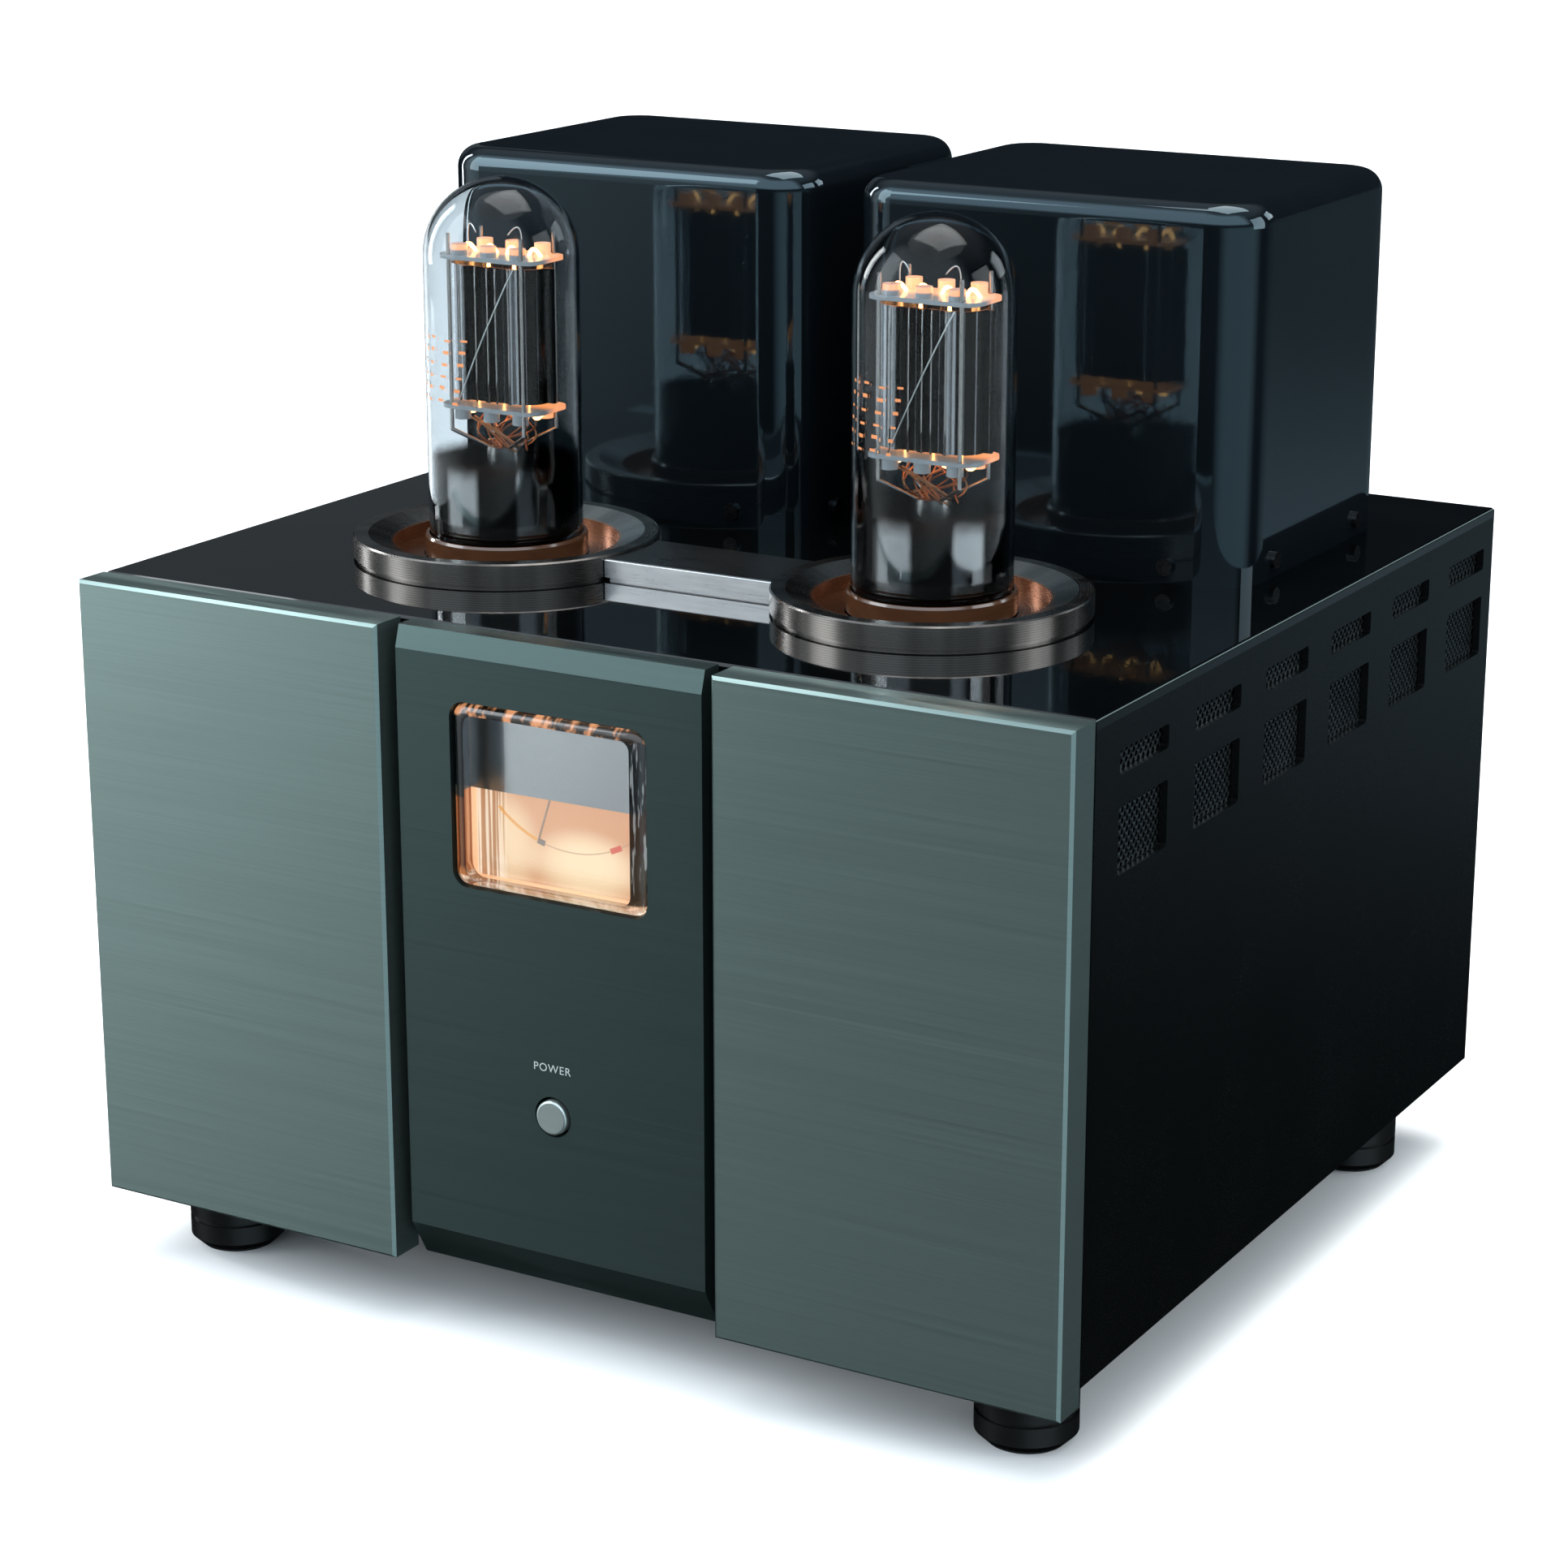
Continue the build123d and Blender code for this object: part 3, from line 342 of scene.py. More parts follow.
ringLook = {
    "colour": (0.24, 0.225, 0.212),
    "darkest": 0.34,  # share of the colour in the painted dark reflection bands
    "dishReflection": (0.27, 0.135, 0.078),  # the dish's painted reflection of the valve's warm light
    # painted light: the dish glows with its valve's warm light
    "glow": (0.30, 0.10, 0.04),
    "glowStrength": 0.07,
    "dish": (0.0465, 0.0448),  # radii where the dish's painted reflection starts, and is full
    "rough": 0.24,
    "turning": 5200.0,  # lathe lines, radians to a metre
}
metalLook = {  # streak: how fine the streaks are along X, to a metre
    "barMetal": {"colour": (0.84, 0.90, 0.95), "rough": 0.30, "streak": 40.0,
                 "blackAbove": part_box("nameplate_bar")[1].z - 0.0004},
    "plainSteel": {"colour": (0.50, 0.50, 0.49), "rough": 0.32, "streak": 60.0},
    "coreSteel": {"colour": (0.12, 0.12, 0.13), "rough": 0.45, "streak": 60.0},
    "footMetal": {"colour": (0.012, 0.013, 0.013), "rough": 0.36, "streak": 120.0, "metallic": 0.6},
    "screwBlack": {"colour": (0.05, 0.055, 0.06), "rough": 0.28, "streak": 300.0},
    "screwSteel": {"colour": (0.45, 0.44, 0.42), "rough": 0.25, "streak": 300.0},
    "jackGold": {"colour": (0.86, 0.58, 0.22), "rough": 0.18, "streak": 300.0},
    "supportWire": {"colour": (0.34, 0.32, 0.30), "rough": 0.22, "streak": 200.0},
    "crossWire": {"colour": (0.80, 0.78, 0.75), "rough": 0.30, "streak": 200.0},
    "leadCopper": {"colour": (0.46, 0.21, 0.10), "rough": 0.3, "streak": 200.0},
    "ventWire": {"colour": (0.16, 0.19, 0.20), "rough": 0.30, "streak": 300.0},
}
blackTop = (0.10, 0.105, 0.11)
overAll = 10.0  # a height that nothing reaches


def ringMaterial(name, centre):
    # metal cut on a lathe: fine rings in the distance from the axis and in the height, painted light and dark
    # reflection bands round the axis, and a dish with a painted warm reflection and glow from its valve
    place = startMaterial(name)
    x, y, z = place.moved(-centre[0], -centre[1], 0).axes()
    radius = (x * x + y * y) ** 0.5
    turning = ((radius + z * 1.3) * ringLook["turning"]).math("SINE") * 0.5 + 0.5
    wear = place.noise(60.0, 4.0)
    inside = radius.step(*ringLook["dish"])
    around = place.node("ShaderNodeCombineXYZ", {}, {0: x / radius, 1: y / radius})
    # painted reflection: light and dark bands round the axis
    paintedReflectionBands = around.noise(3.2, 2.0).step(0.38, 0.62)
    dark = shaded(ringLook["colour"], ringLook["darkest"])
    steel = (turning * 0.2 + wear * 0.2 + paintedReflectionBands * 0.6).blend(ringLook["colour"], dark)
    return endMaterial(place, {
        "Base Color": (inside * 0.85).blend(steel, ringLook["dishReflection"]),
        "Metallic": 1.0,
        "Roughness": wear * 0.14 + turning * 0.05 + ringLook["rough"] - 0.07,
        "Anisotropic": 0.35,
        "Anisotropic Rotation": 0.25,
        "Emission Color": inside.blend((0, 0, 0), ringLook["glow"]),
        "Emission Strength": ringLook["glowStrength"],
        "Normal": turning.bump(0.06, 0.00008),
    })


def plainMetal(name):
    # rolled metal: streaks along X, small stains, and a slightly varied shine; near black above a height
    place = startMaterial(name)
    look = metalLook[name]
    top = look.get("blackAbove", overAll)
    grain = place.scaled(look["streak"], 900, 900).noise(1.0)
    stain = place.noise(45.0, 4.0)
    mixed = grain * 0.55 + stain * 0.45
    bare = mixed.blend(shaded(look["colour"], 0.7), shaded(look["colour"], 1.25))
    return endMaterial(place, {
        "Base Color": place.axes()[2].step(top, top + 0.0001).blend(bare, blackTop),
        "Metallic": look.get("metallic", 1.0),
        "Roughness": grain * 0.16 + stain * 0.10 + look["rough"] - 0.13,
        "Normal": grain.bump(0.10, 0.0001),
    })


valveCentres = {}
for side in valveSides:
    low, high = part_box(f"socket_ring_{side}")
    valveCentres[side] = ((low.x + high.x) / 2, (low.y + high.y) / 2)
    paint(ringMaterial(f"ringMetal_{side}", valveCentres[side]), f"socket_ring_{side}")

paint(plainMetal("barMetal"), "nameplate_bar")
paint(plainMetal("plainSteel"), "chassis_rails", "board_standoffs", "vent_mesh_left", "vent_mesh_right")
paint(plainMetal("coreSteel"), "power_transformer_core", "output_transformer_core")
paint(plainMetal("footMetal"), "foot_front_left", "foot_front_right", "foot_rear_left", "foot_rear_right")
paint(plainMetal("screwBlack"), "cover_screws", "foot_screws")
paint(plainMetal("screwSteel"), "panel_screws")
paint(plainMetal("jackGold"), "input_jack", "terminal_posts")
print("bare metal painted")


# plastics, board and windings

mouldedLook = {
    "switchPlastic": {"colour": (0.02, 0.02, 0.022), "rough": 0.4},
    "inletPlastic": {"colour": (0.012, 0.012, 0.013), "rough": 0.38},
    "boardGreen": {"colour": (0.015, 0.09, 0.04), "rough": 0.35},
    "capacitorBlack": {"colour": (0.015, 0.018, 0.03), "rough": 0.3, "coat": 0.3},
    "capRed": {"colour": (0.45, 0.012, 0.012), "rough": 0.28, "coat": 0.3},
    "capBlack": {"colour": (0.012, 0.012, 0.012), "rough": 0.28, "coat": 0.3},
    "socketCeramic": {"colour": (0.75, 0.73, 0.68), "rough": 0.3, "coat": 0.2},
    "needleBronze": {"colour": (0.34, 0.23, 0.165), "rough": 0.5},
    "printInk": {"colour": (0.55, 0.19, 0.06), "rough": 0.5},
    "labelInk": {"colour": (0.24, 0.28, 0.275), "rough": 0.5},
}
tapeLook = {
    "dark": (0.16, 0.07, 0.02),
    "light": (0.34, 0.17, 0.05),
    "laps": 520.0,  # radians to a metre of height
    "rough": 0.35,
}


def moulded(name):
    place = startMaterial(name)
    look = mouldedLook[name]
    skin = place.noise(700.0, 2.0)
    flow = place.noise(35.0)
    return endMaterial(place, {
        "Base Color": flow.blend(shaded(look["colour"], 0.8), shaded(look["colour"], 1.2)),
        "Roughness": skin * 0.12 + flow * 0.10 + look["rough"] - 0.11,
        "Coat Weight": look.get("coat", 0.0),
        "Normal": skin.bump(0.08, 0.0001),
    })


def coilTape(name):
    # varnished tape wound round the coil: bands in the height with darker laps
    place = startMaterial(name)
    lap = (place.axes()[2] * tapeLook["laps"]).math("SINE") * 0.5 + 0.5
    fibre = place.scaled(1, 1, 20).noise(120.0)
    return endMaterial(place, {
        "Base Color": (lap * 0.7 + fibre * 0.3).blend(tapeLook["dark"], tapeLook["light"]),
        "Roughness": fibre * 0.2 + tapeLook["rough"],
        "Normal": lap.bump(0.3, 0.0003),
    })


paint(moulded("switchPlastic"), "power_switch")
paint(moulded("inletPlastic"), "mains_inlet")
paint(moulded("boardGreen"), "circuit_board")
paint(moulded("capacitorBlack"), "filter_capacitors")
paint(moulded("capRed"), "terminal_cap_red")
paint(moulded("capBlack"), "terminal_cap_black")
paint(moulded("socketCeramic"), "valve_socket_left", "valve_socket_right")
paint(coilTape("coilTape"), "power_transformer_coil", "output_transformer_coil")


# glass

glassLook = {
    "valveGlass": {"ior": 1.21, "tint": (0.57, 0.615, 0.64)},  # low, so that the anode isn't veiled
    "driverGlass": {"ior": 1.45, "tint": (0.9, 0.85, 0.75)},
    "crystal": {"ior": 1.49, "tint": (1, 1, 1)},
}


def clearGlass(name):
    # clear glass whose skin carries a trace of drawing marks
    place = startMaterial(name)
    marks = place.scaled(1, 1, 0.25).noise(40.0, 2.0)
    return endMaterial(place, {
        "Base Color": glassLook[name]["tint"],
        "Roughness": marks.step(0.62, 0.9) * 0.02,
        "IOR": glassLook[name]["ior"],
        "Transmission Weight": 1.0,
        "Normal": marks.bump(0.010, 0.0005),
    })


paint(clearGlass("valveGlass"), "valve_glass_left", "valve_glass_right")
paint(clearGlass("driverGlass"), "driver_valves")
print("plastics and glass painted")


# meter

restAngle = math.radians(-17)  # where the needle rests, from straight down
scaleHalf = math.radians(45)
dialLook = {
    "cream": (0.74, 0.42, 0.24),
    "amber": (0.56, 0.22, 0.085),
    "hot": (1.0, 0.80, 0.52),
    "strength": 0.95,
    "scaleRadius": 0.0460,
    "softEdge": (0.00012, 0.004),  # of the printed lines: across in metres, along in radians
    "paintedReflectionColours": ((0.42, 0.19, 0.09), (1.0, 0.84, 0.66)),
    "paintedReflectionFade": (0.0150, 0.0095),  # from the crystal's left side: where the painted reflection streaks start, and are full
}
dialPools = (  # warm pools of painted lamp light above the lamps: middle along X and above the card's foot, half sizes
    {"x": -0.031, "z": 0.014, "wide": 0.015, "tall": 0.018, "reach": 1.6, "light": 0.75},
    {"x": 0.006, "z": 0.010, "wide": 0.021, "tall": 0.012, "reach": 1.8, "light": 0.95},
)
dialMarks = {  # half widths in metres, ends from straight down
    "thick": {"half": 0.00060, "from": -scaleHalf, "to": restAngle - 0.05, "density": 0.85,
              "ink": (0.80, 0.36, 0.06)},
    "thin": {"half": 0.00022, "from": restAngle, "to": scaleHalf, "density": 0.55,
             "ink": (0.42, 0.22, 0.12)},
    "red": {"half": 0.00105, "from": math.radians(21.5), "to": math.radians(28), "density": 0.95,
            "ink": (0.62, 0.035, 0.015)},
    "tick": {"half": 0.0011, "from": restAngle - 0.045, "to": restAngle + 0.03, "density": 0.9,
             "ink": (0.10, 0.12, 0.13)},
}
maskLook = {
    "bright": (0.25, 0.28, 0.29),
    "dark": (0.12, 0.132, 0.14),
    "rough": 0.30,
    "anisotropic": 0.7,
    "brush": (25, 2600),  # noise cells to a metre: along the brushing, across it
}
lensLow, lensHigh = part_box("meter_lens")
dialLow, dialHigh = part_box("meter_dial")
pivot = (0.0, lensHigh.z - 0.0104)
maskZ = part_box("meter_mask")[0].z
black = (0, 0, 0)


def dialCard(name):
    # a card whose lamp light is painted into its emission: two warm pools above the lamps, painted streaks
    # near its left side that stand in for the crystal wall's reflection, and a printed arc about the needle's
    # pivot
    place = startMaterial(name)
    x, z = place.axes()[::2]
    across = x - pivot[0]
    down = pivot[1] - z
    reach = (across * across + down * down) ** 0.5
    angle = across.math("ARCTAN2", down)

    warmth = (x - dialLow.x) / (dialHigh.x - dialLow.x)
    base = (warmth * 0.55 + (z - dialLow.z) / 0.06 * 0.28).blend(dialLook["cream"], dialLook["amber"])
    lit = 0.0
    # painted light: warm pools above the lamps
    for pool in dialPools:
        away = ((x - pool["x"]) / pool["wide"]) ** 2.0 + ((z - dialLow.z - pool["z"]) / pool["tall"]) ** 2.0
        lit = away.step(pool["reach"], 0.0) * pool["light"] + lit
    glow = lit.math("MINIMUM", 1.0).blend(base, dialLook["hot"])
    # painted reflection: streaks that stand in for the crystal wall's mirrored dial
    start, full = (lensLow.x + inset for inset in dialLook["paintedReflectionFade"])
    streaks = place.scaled(520, 1, 10).noise(1.0, 2.0).step(0.44, 0.56)
    glow = (x.step(start, full) * 0.85).blend(glow, streaks.blend(*dialLook["paintedReflectionColours"]))

    softAcross, softAlong = dialLook["softEdge"]
    for mark in dialMarks.values():
        line = (reach - dialLook["scaleRadius"]).math("ABSOLUTE").step(mark["half"] + softAcross, mark["half"])
        line = line * angle.step(mark["from"] - softAlong, mark["from"] + softAlong)
        line = line * angle.step(mark["to"] + softAlong, mark["to"] - softAlong)
        glow = (line * mark["density"]).blend(glow, mark["ink"])
    return endMaterial(place, {
        "Base Color": (0.10, 0.06, 0.035),
        "Roughness": 0.6,
        "Emission Color": glow,
        "Emission Strength": dialLook["strength"],
    })


def silverMask(name):
    # brushed silver sheet with painted shade, darker towards its lower right corner
    place = startMaterial(name)
    x, z = place.axes()[::2]
    along, across = maskLook["brush"]
    grain = place.scaled(along, along, across).noise(1.0, 2.0)
    paintedShade = (x - lensLow.x) / (lensHigh.x - lensLow.x) * 0.55 + (lensHigh.z - z) / 0.036 * 0.35
    return endMaterial(place, {
        "Base Color": (paintedShade + (grain - 0.5) * 0.12).blend(maskLook["bright"], maskLook["dark"]),
        "Metallic": 1.0,
        "Roughness": grain * 0.1 + maskLook["rough"],
        "Anisotropic": maskLook["anisotropic"],
        "Anisotropic Rotation": 0.25,
        "Normal": grain.bump(0.01, 0.0001),
    })


paint(dialCard("dialCard"), "meter_dial")
paint(silverMask("maskSilver"), "meter_mask")


crystalLook = {
    "corner": 0.006,
    "cornerLoss": 0.002,  # how much smaller the corners are at the very front
    "gap": 0.00015,  # air round the block, so that its polished walls mirror
    "bevel": (0.0062, 0.0040),  # width of the pillowed front edge: at the sides, top and bottom
    "bevelDepth": 0.0042,
    "bevelRings": 14,
}
rimLook = {
    "besideMask": (0.002, 0.004, 0.006),
    "besideDial": (0.16, 0.045, 0.012),
    "right": (0.003, 0.0035, 0.004),
    "top": (0.010, 0.005, 0.003),
    "bottom": (0.46, 0.44, 0.42),
    "lampGlint": (1.0, 0.44, 0.20),
    "rightGlint": (0.30, 0.33, 0.35),
    "bottomGlint": (0.42, 0.40, 0.39),
    "strength": 0.7,
}
wallLook = {
    "line": (0.012, 0.010, 0.009),
    "hot": (1.0, 0.90, 0.78),
    "amber": (0.62, 0.30, 0.15),
    "foot": (0.60, 0.50, 0.43),
    "recess": ((0.03, 0.045, 0.06), (0.10, 0.13, 0.155)),
    "light": (0.95, 0.72, 0.50),
    "strength": 0.8,
}


def roundedRing(halfWide, halfTall, corner, count=10):
    # an upright rectangle with corners of the given radius: each corner's centre plus a quarter circle
    angle = (np.arange(4)[:, None] + np.linspace(0, 1, count)[None, :]) * math.pi / 2
    sideX = np.array([1, -1, -1, 1])[:, None] * (halfWide - corner)
    sideZ = np.array([1, 1, -1, -1])[:, None] * (halfTall - corner)
    return np.stack([sideX + corner * np.cos(angle), sideZ + corner * np.sin(angle)], axis=-1).reshape(-1, 2)


def crystalRim(name):
    # the pillowed edge, with painted reflections: navy beside the mask and amber beside the dial, dark at the
    # right, painted amber glints of the lamps along the top, pale along the bottom
    place = startMaterial(name)
    x, z = place.axes()[::2]
    right = x.step(lensHigh.x - 0.0085, lensHigh.x - 0.0070)
    top = z.step(lensHigh.z - 0.0052, lensHigh.z - 0.0038)
    bottom = z.step(lensLow.z + 0.0052, lensLow.z + 0.0038)
    under = z.step(maskZ + 0.0004, maskZ - 0.0004)
    facet = place.scaled(190, 1, 150).noise(1.0, 2.0)
    curl = place.scaled(700, 1, 60).noise(1.0, 2.0).step(0.56, 0.62)
    # painted reflections, carried in the glass's colour
    tint = under.blend(rimLook["besideMask"], rimLook["besideDial"])
    tint = right.blend(tint, rimLook["right"])
    tint = top.blend(tint, rimLook["top"])
    tint = bottom.blend(tint, rimLook["bottom"])
    # painted highlights: lamp glints along the top, curls at the right, glints along the bottom
    light = (top * facet.step(0.47, 0.62)).blend(black, rimLook["lampGlint"])
    light = (right * curl * (1 - top)).blend(light, rimLook["rightGlint"])
    light = (bottom * facet.step(0.45, 0.65) * 0.6).blend(light, rimLook["bottomGlint"])
    return endMaterial(place, {
        "Base Color": tint,
        "Roughness": facet * 0.04,
        "IOR": glassLook["crystal"]["ior"],
        "Transmission Weight": 1.0,
        "Emission Color": light,
        "Emission Strength": rimLook["strength"],
    })


def crystalWall(name):
    # the polished walls carry a painted reflection of the dial: from front to back a black line, a white-hot
    # band and amber; above the mask's edge a painted reflection of the dark of the recess
    place = startMaterial(name)
    y, z = place.axes()[1:]
    wave = (place.scaled(1, 260, 14).noise(1.0, 2.0) - 0.5) * 0.25
    depth = (y - lensLow.y) / (lensHigh.y - lensLow.y) + wave * 0.3
    under = z.step(maskZ + 0.0004, maskZ - 0.0004)
    hot = depth.step(0.30, 0.34) * depth.step(0.66, 0.56)
    tone = depth.step(0.62, 0.70).blend(wallLook["line"], wallLook["amber"])
    tone = hot.blend(tone, wallLook["hot"])
    tone = z.step(lensLow.z + 0.004, lensLow.z + 0.002).blend(tone, wallLook["foot"])
    tone = under.blend((wave + 0.5).blend(*wallLook["recess"]), tone)
    fade = z.step(lensLow.z + 0.034, lensLow.z + 0.008)
    return endMaterial(place, {
        "Base Color": tone,
        "Metallic": 1.0,
        "Roughness": 0.06,
        # painted light: the white-hot band glows
        "Emission Color": (hot * under * fade).blend(black, wallLook["light"]),
        "Emission Strength": wallLook["strength"],
    })


def crystalBlock(glass, rim, wall):
    # rounded rectangles stacked from the front face to the back: a quarter ellipse for the pillowed
    # front edge, then straight polished walls
    wide = (lensHigh.x - lensLow.x) / 2 - crystalLook["gap"]
    tall = (lensHigh.z - lensLow.z) / 2 - crystalLook["gap"]
    middle = ((lensHigh.x + lensLow.x) / 2, (lensHigh.z + lensLow.z) / 2)
    bevelX, bevelZ = crystalLook["bevel"]
    rings, depths = [], []
    for turn in np.linspace(0, math.pi / 2, crystalLook["bevelRings"]):
        left = 1 - math.sin(turn)
        rings.append(roundedRing(wide - bevelX * left, tall - bevelZ * left,
                                 crystalLook["corner"] - crystalLook["cornerLoss"] * left))
        depths.append(lensLow.y + crystalLook["bevelDepth"] * (1 - math.cos(turn)))
    rings.append(rings[-1])
    depths.append(lensHigh.y - crystalLook["gap"])
    outline = np.stack(rings)
    depth = np.broadcast_to(np.array(depths)[:, None], outline.shape[:2])
    points = np.stack([outline[..., 0] + middle[0], depth, outline[..., 1] + middle[1]], axis=-1)
    count = points.shape[1]
    faces = gridFaces(len(rings), count, closeColumns=True).tolist()
    faces += [list(range(count)), list(range(len(rings) * count - 1, (len(rings) - 1) * count - 1, -1))]
    piece = meshPiece("meterCrystal", points, faces, glass, "root", closed=True)
    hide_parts("meter_lens")
    piece.data.materials.append(rim)
    piece.data.materials.append(wall)
    face = np.arange(len(faces))
    rimFaces = (crystalLook["bevelRings"] - 1) * count
    materialIndex = np.where(face < rimFaces, 1, np.where(face < rimFaces + count, 2, 0))
    piece.data.polygons.foreach_set("use_smooth", face < rimFaces)
    piece.data.polygons.foreach_set("material_index", materialIndex)


crystalBlock(clearGlass("crystal"), crystalRim("crystalRim"), crystalWall("crystalWall"))


glowLook = {
    "housingGlow": {"colour": (0.80, 0.44, 0.24), "strength": 0.7},
    "lampGlass": {"colour": (1.0, 0.72, 0.42), "strength": 2.0},
    "hotWire": {"colour": (1.0, 0.42, 0.13), "strength": 14.0},
}


def glowing(name):  # a warm surface with light in its emission, slightly uneven; on the meter's housing that light is painted
    place = startMaterial(name)
    look = glowLook[name]
    return endMaterial(place, {
        "Base Color": (0.8, 0.6, 0.4),
        "Roughness": 0.5,
        "Emission Color": place.noise(500.0, 2.0).blend(shaded(look["colour"], 0.75), look["colour"]),
        "Emission Strength": look["strength"],
    })


# the housing is no lamp: its warm glow is painted light from the meter's lamps
paint(glowing("housingGlow"), "meter_housing")
paint(glowing("lampGlass"), "meter_lamps")
paint(moulded("needleBronze"), "meter_needle")
print("meter made")


# valves

anodeLook = {
    "soot": ((0.002, 0.0018, 0.0016), (0.016, 0.014, 0.012)),
    "bare": (0.55, 0.55, 0.56),
    "leftPanel": (-0.0095, -0.0112),  # along X from the axis: where the bare panel starts, and is full
    "rightPanel": (0.0100, 0.0108, 0.0134, 0.0142),
    "panelLight": (0.9, 0.7),  # how bare the left and the right panel are
    "ribs": 1960.0,  # radians to a metre
    "ribLight": 0.30,
}
spacerLook = {
    "nut": (0.34, 0.36, 0.37),
    # a faint painted light on the nuts in front
    "cool": (0.05, 0.055, 0.06),
    "warm": (1.0, 0.31, 0.085),
    "strength": 2.0,
    "warmFrom": (-0.0060, 0.0030),  # behind the axis the nuts glow with painted light
    "lip": (0.0026, 0.0018, 0.0002),  # the upper plate's rim, glowing with painted light, from its top
}
collarLook = {
    "colours": ((0.028, 0.012, 0.006), (0.085, 0.036, 0.017)),
    "rough": 0.13,
    "coat": 0.6,
}
getterLook = {
    "brown": (0.020, 0.009, 0.005),
    "mirror": (0.006, 0.0055, 0.005),
    # painted reflection colour of the two upright stretches
    "silver": (0.42, 0.41, 0.40),
    "top": 0.044,  # where the film ends, above the deck
    "sheetTop": 0.046,
    "fade": 0.007,
    "brownDown": (0.002, 0.011),
    "leftStretch": (-1.90, -1.80, -1.42, -1.32),  # round the glass, from +X
    "rightStretch": (-0.86, -0.78, -0.44, -0.34),
    "stretchLight": (0.8, 1.0),
    "inset": 0.0004,
    "turns": 96,
}
wireLook = {
    "rods": (-0.0118, -0.0042, 0.0014, 0.0052, 0.0112),  # along X from the axis
    "rodRadius": 0.0004,
    "crossRadius": 0.00025,
    "leads": 18,
    "leadRadius": 0.00036,
    "ends": (-1.5, -0.5, 0.5, 1.5),  # filament ends, in pitches from the axis
    "endPitch": 0.0102,
    "endRadius": 0.0008,
    "endRise": 0.0060,
}
printLook = {
    "rows": 6,
    "strokes": 7,
    "from": math.radians(-142),  # round the glass, from +X
    "pitch": math.radians(7.6),
    "line": 0.0049,
    "stroke": 0.0014,
}
glassWall = 0.0013


def window(value, start, full, leave, gone):  # 1 between full and leave, 0 before start and after gone
    return value.step(start, full) * value.step(gone, leave)


def anodeMetal(name, middle):
    # blackened nickel sheet: upright drawing lines and a sooty bloom; a bare panel at the left, a
    # narrower one at the right, and thin bright ribs between them
    place = startMaterial(name)
    x = place.moved(-middle, 0, 0).axes()[0]
    lines = place.scaled(900, 900, 12).noise(1.0)
    soot = place.noise(70.0, 4.0)
    rib = (x * anodeLook["ribs"]).math("SINE").step(0.93, 0.99) * anodeLook["ribLight"]
    leftLight, rightLight = anodeLook["panelLight"]
    bare = x.step(*anodeLook["leftPanel"]) * leftLight + window(x, *anodeLook["rightPanel"]) * rightLight
    sheet = (lines * 0.6 + soot * 0.4).blend(*anodeLook["soot"])
    sheet = (bare + rib * (1 - bare)).math("MINIMUM", 1.0).blend(sheet, anodeLook["bare"])
    return endMaterial(place, {
        "Base Color": sheet,
        "Metallic": 0.9,
        "Roughness": soot * 0.10 + lines * 0.06 + 0.14,
        "Specular IOR Level": 0.2,
        "Normal": lines.bump(0.03, 0.0001),
    })


def spacerCeramic(name, centre, plateHigh):
    # pale ceramic nuts and plates: the filament ends' warm light and a faint cool light are painted into their
    # emission
    place = startMaterial(name)
    y, z = place.moved(-centre[0], -centre[1], 0).axes()[1:]
    speck = place.noise(900.0)
    start, full, over = spacerLook["lip"]
    edge = window(z, plateHigh - start, plateHigh - full, plateHigh - over, plateHigh + over)
    warm = (y.step(*spacerLook["warmFrom"]) * 0.9 + edge).math("MINIMUM", 1.0)
    return endMaterial(place, {
        "Base Color": speck.blend(shaded(spacerLook["nut"], 0.8), spacerLook["nut"]),
        "Roughness": speck * 0.2 + 0.25,
        "Emission Color": warm.blend(spacerLook["cool"], spacerLook["warm"]),
        "Emission Strength": spacerLook["strength"],
        "Coat Weight": 0.3,
    })


def collarPlastic(name):
    # dark brown phenolic: a glossy moulded skin with a faint marbled flow
    place = startMaterial(name)
    flow = place.scaled(1, 1, 2.5).noise(60.0, 4.0)
    skin = place.noise(600.0, 2.0)
    return endMaterial(place, {
        "Base Color": flow.blend(*collarLook["colours"]),
        "Roughness": skin * 0.08 + collarLook["rough"],
        "Coat Weight": collarLook["coat"],
        "Coat Roughness": 0.06,
        "Normal": skin.bump(0.05, 0.0001),
    })


def getterMirror(name, centre):
    # the film flashed on the glass: a dark mirror that thins to brown and then to nothing at its top;
    # in two upright stretches it carries painted silver reflections
    place = startMaterial(name)
    x, y, z = place.moved(-centre[0], -centre[1], 0).axes()
    turn = y.math("ARCTAN2", x)
    leftLight, rightLight = getterLook["stretchLight"]
    bright = (window(turn, *getterLook["leftStretch"]) * leftLight
              + window(turn, *getterLook["rightStretch"]) * rightLight)
    drift = place.noise(55.0)
    height = z + (drift - 0.5) * 0.006
    top = deckZ + getterLook["top"]
    brownHigh, brownLow = (top - down for down in getterLook["brownDown"])
    film = bright.blend(getterLook["mirror"], getterLook["silver"])
    return endMaterial(place, {
        "Base Color": height.step(brownHigh, brownLow).blend(getterLook["brown"], film),
        "Metallic": 1.0,
        "Roughness": drift * 0.10 + 0.03,
        "Alpha": height.step(top, top - getterLook["fade"]),
    })


wireSteel = plainMetal("supportWire")
crossWire = plainMetal("crossWire")
leadCopper = plainMetal("leadCopper")
glassPrintInk = moulded("printInk")
hotWire = glowing("hotWire")
collar = collarPlastic("valveCollar")


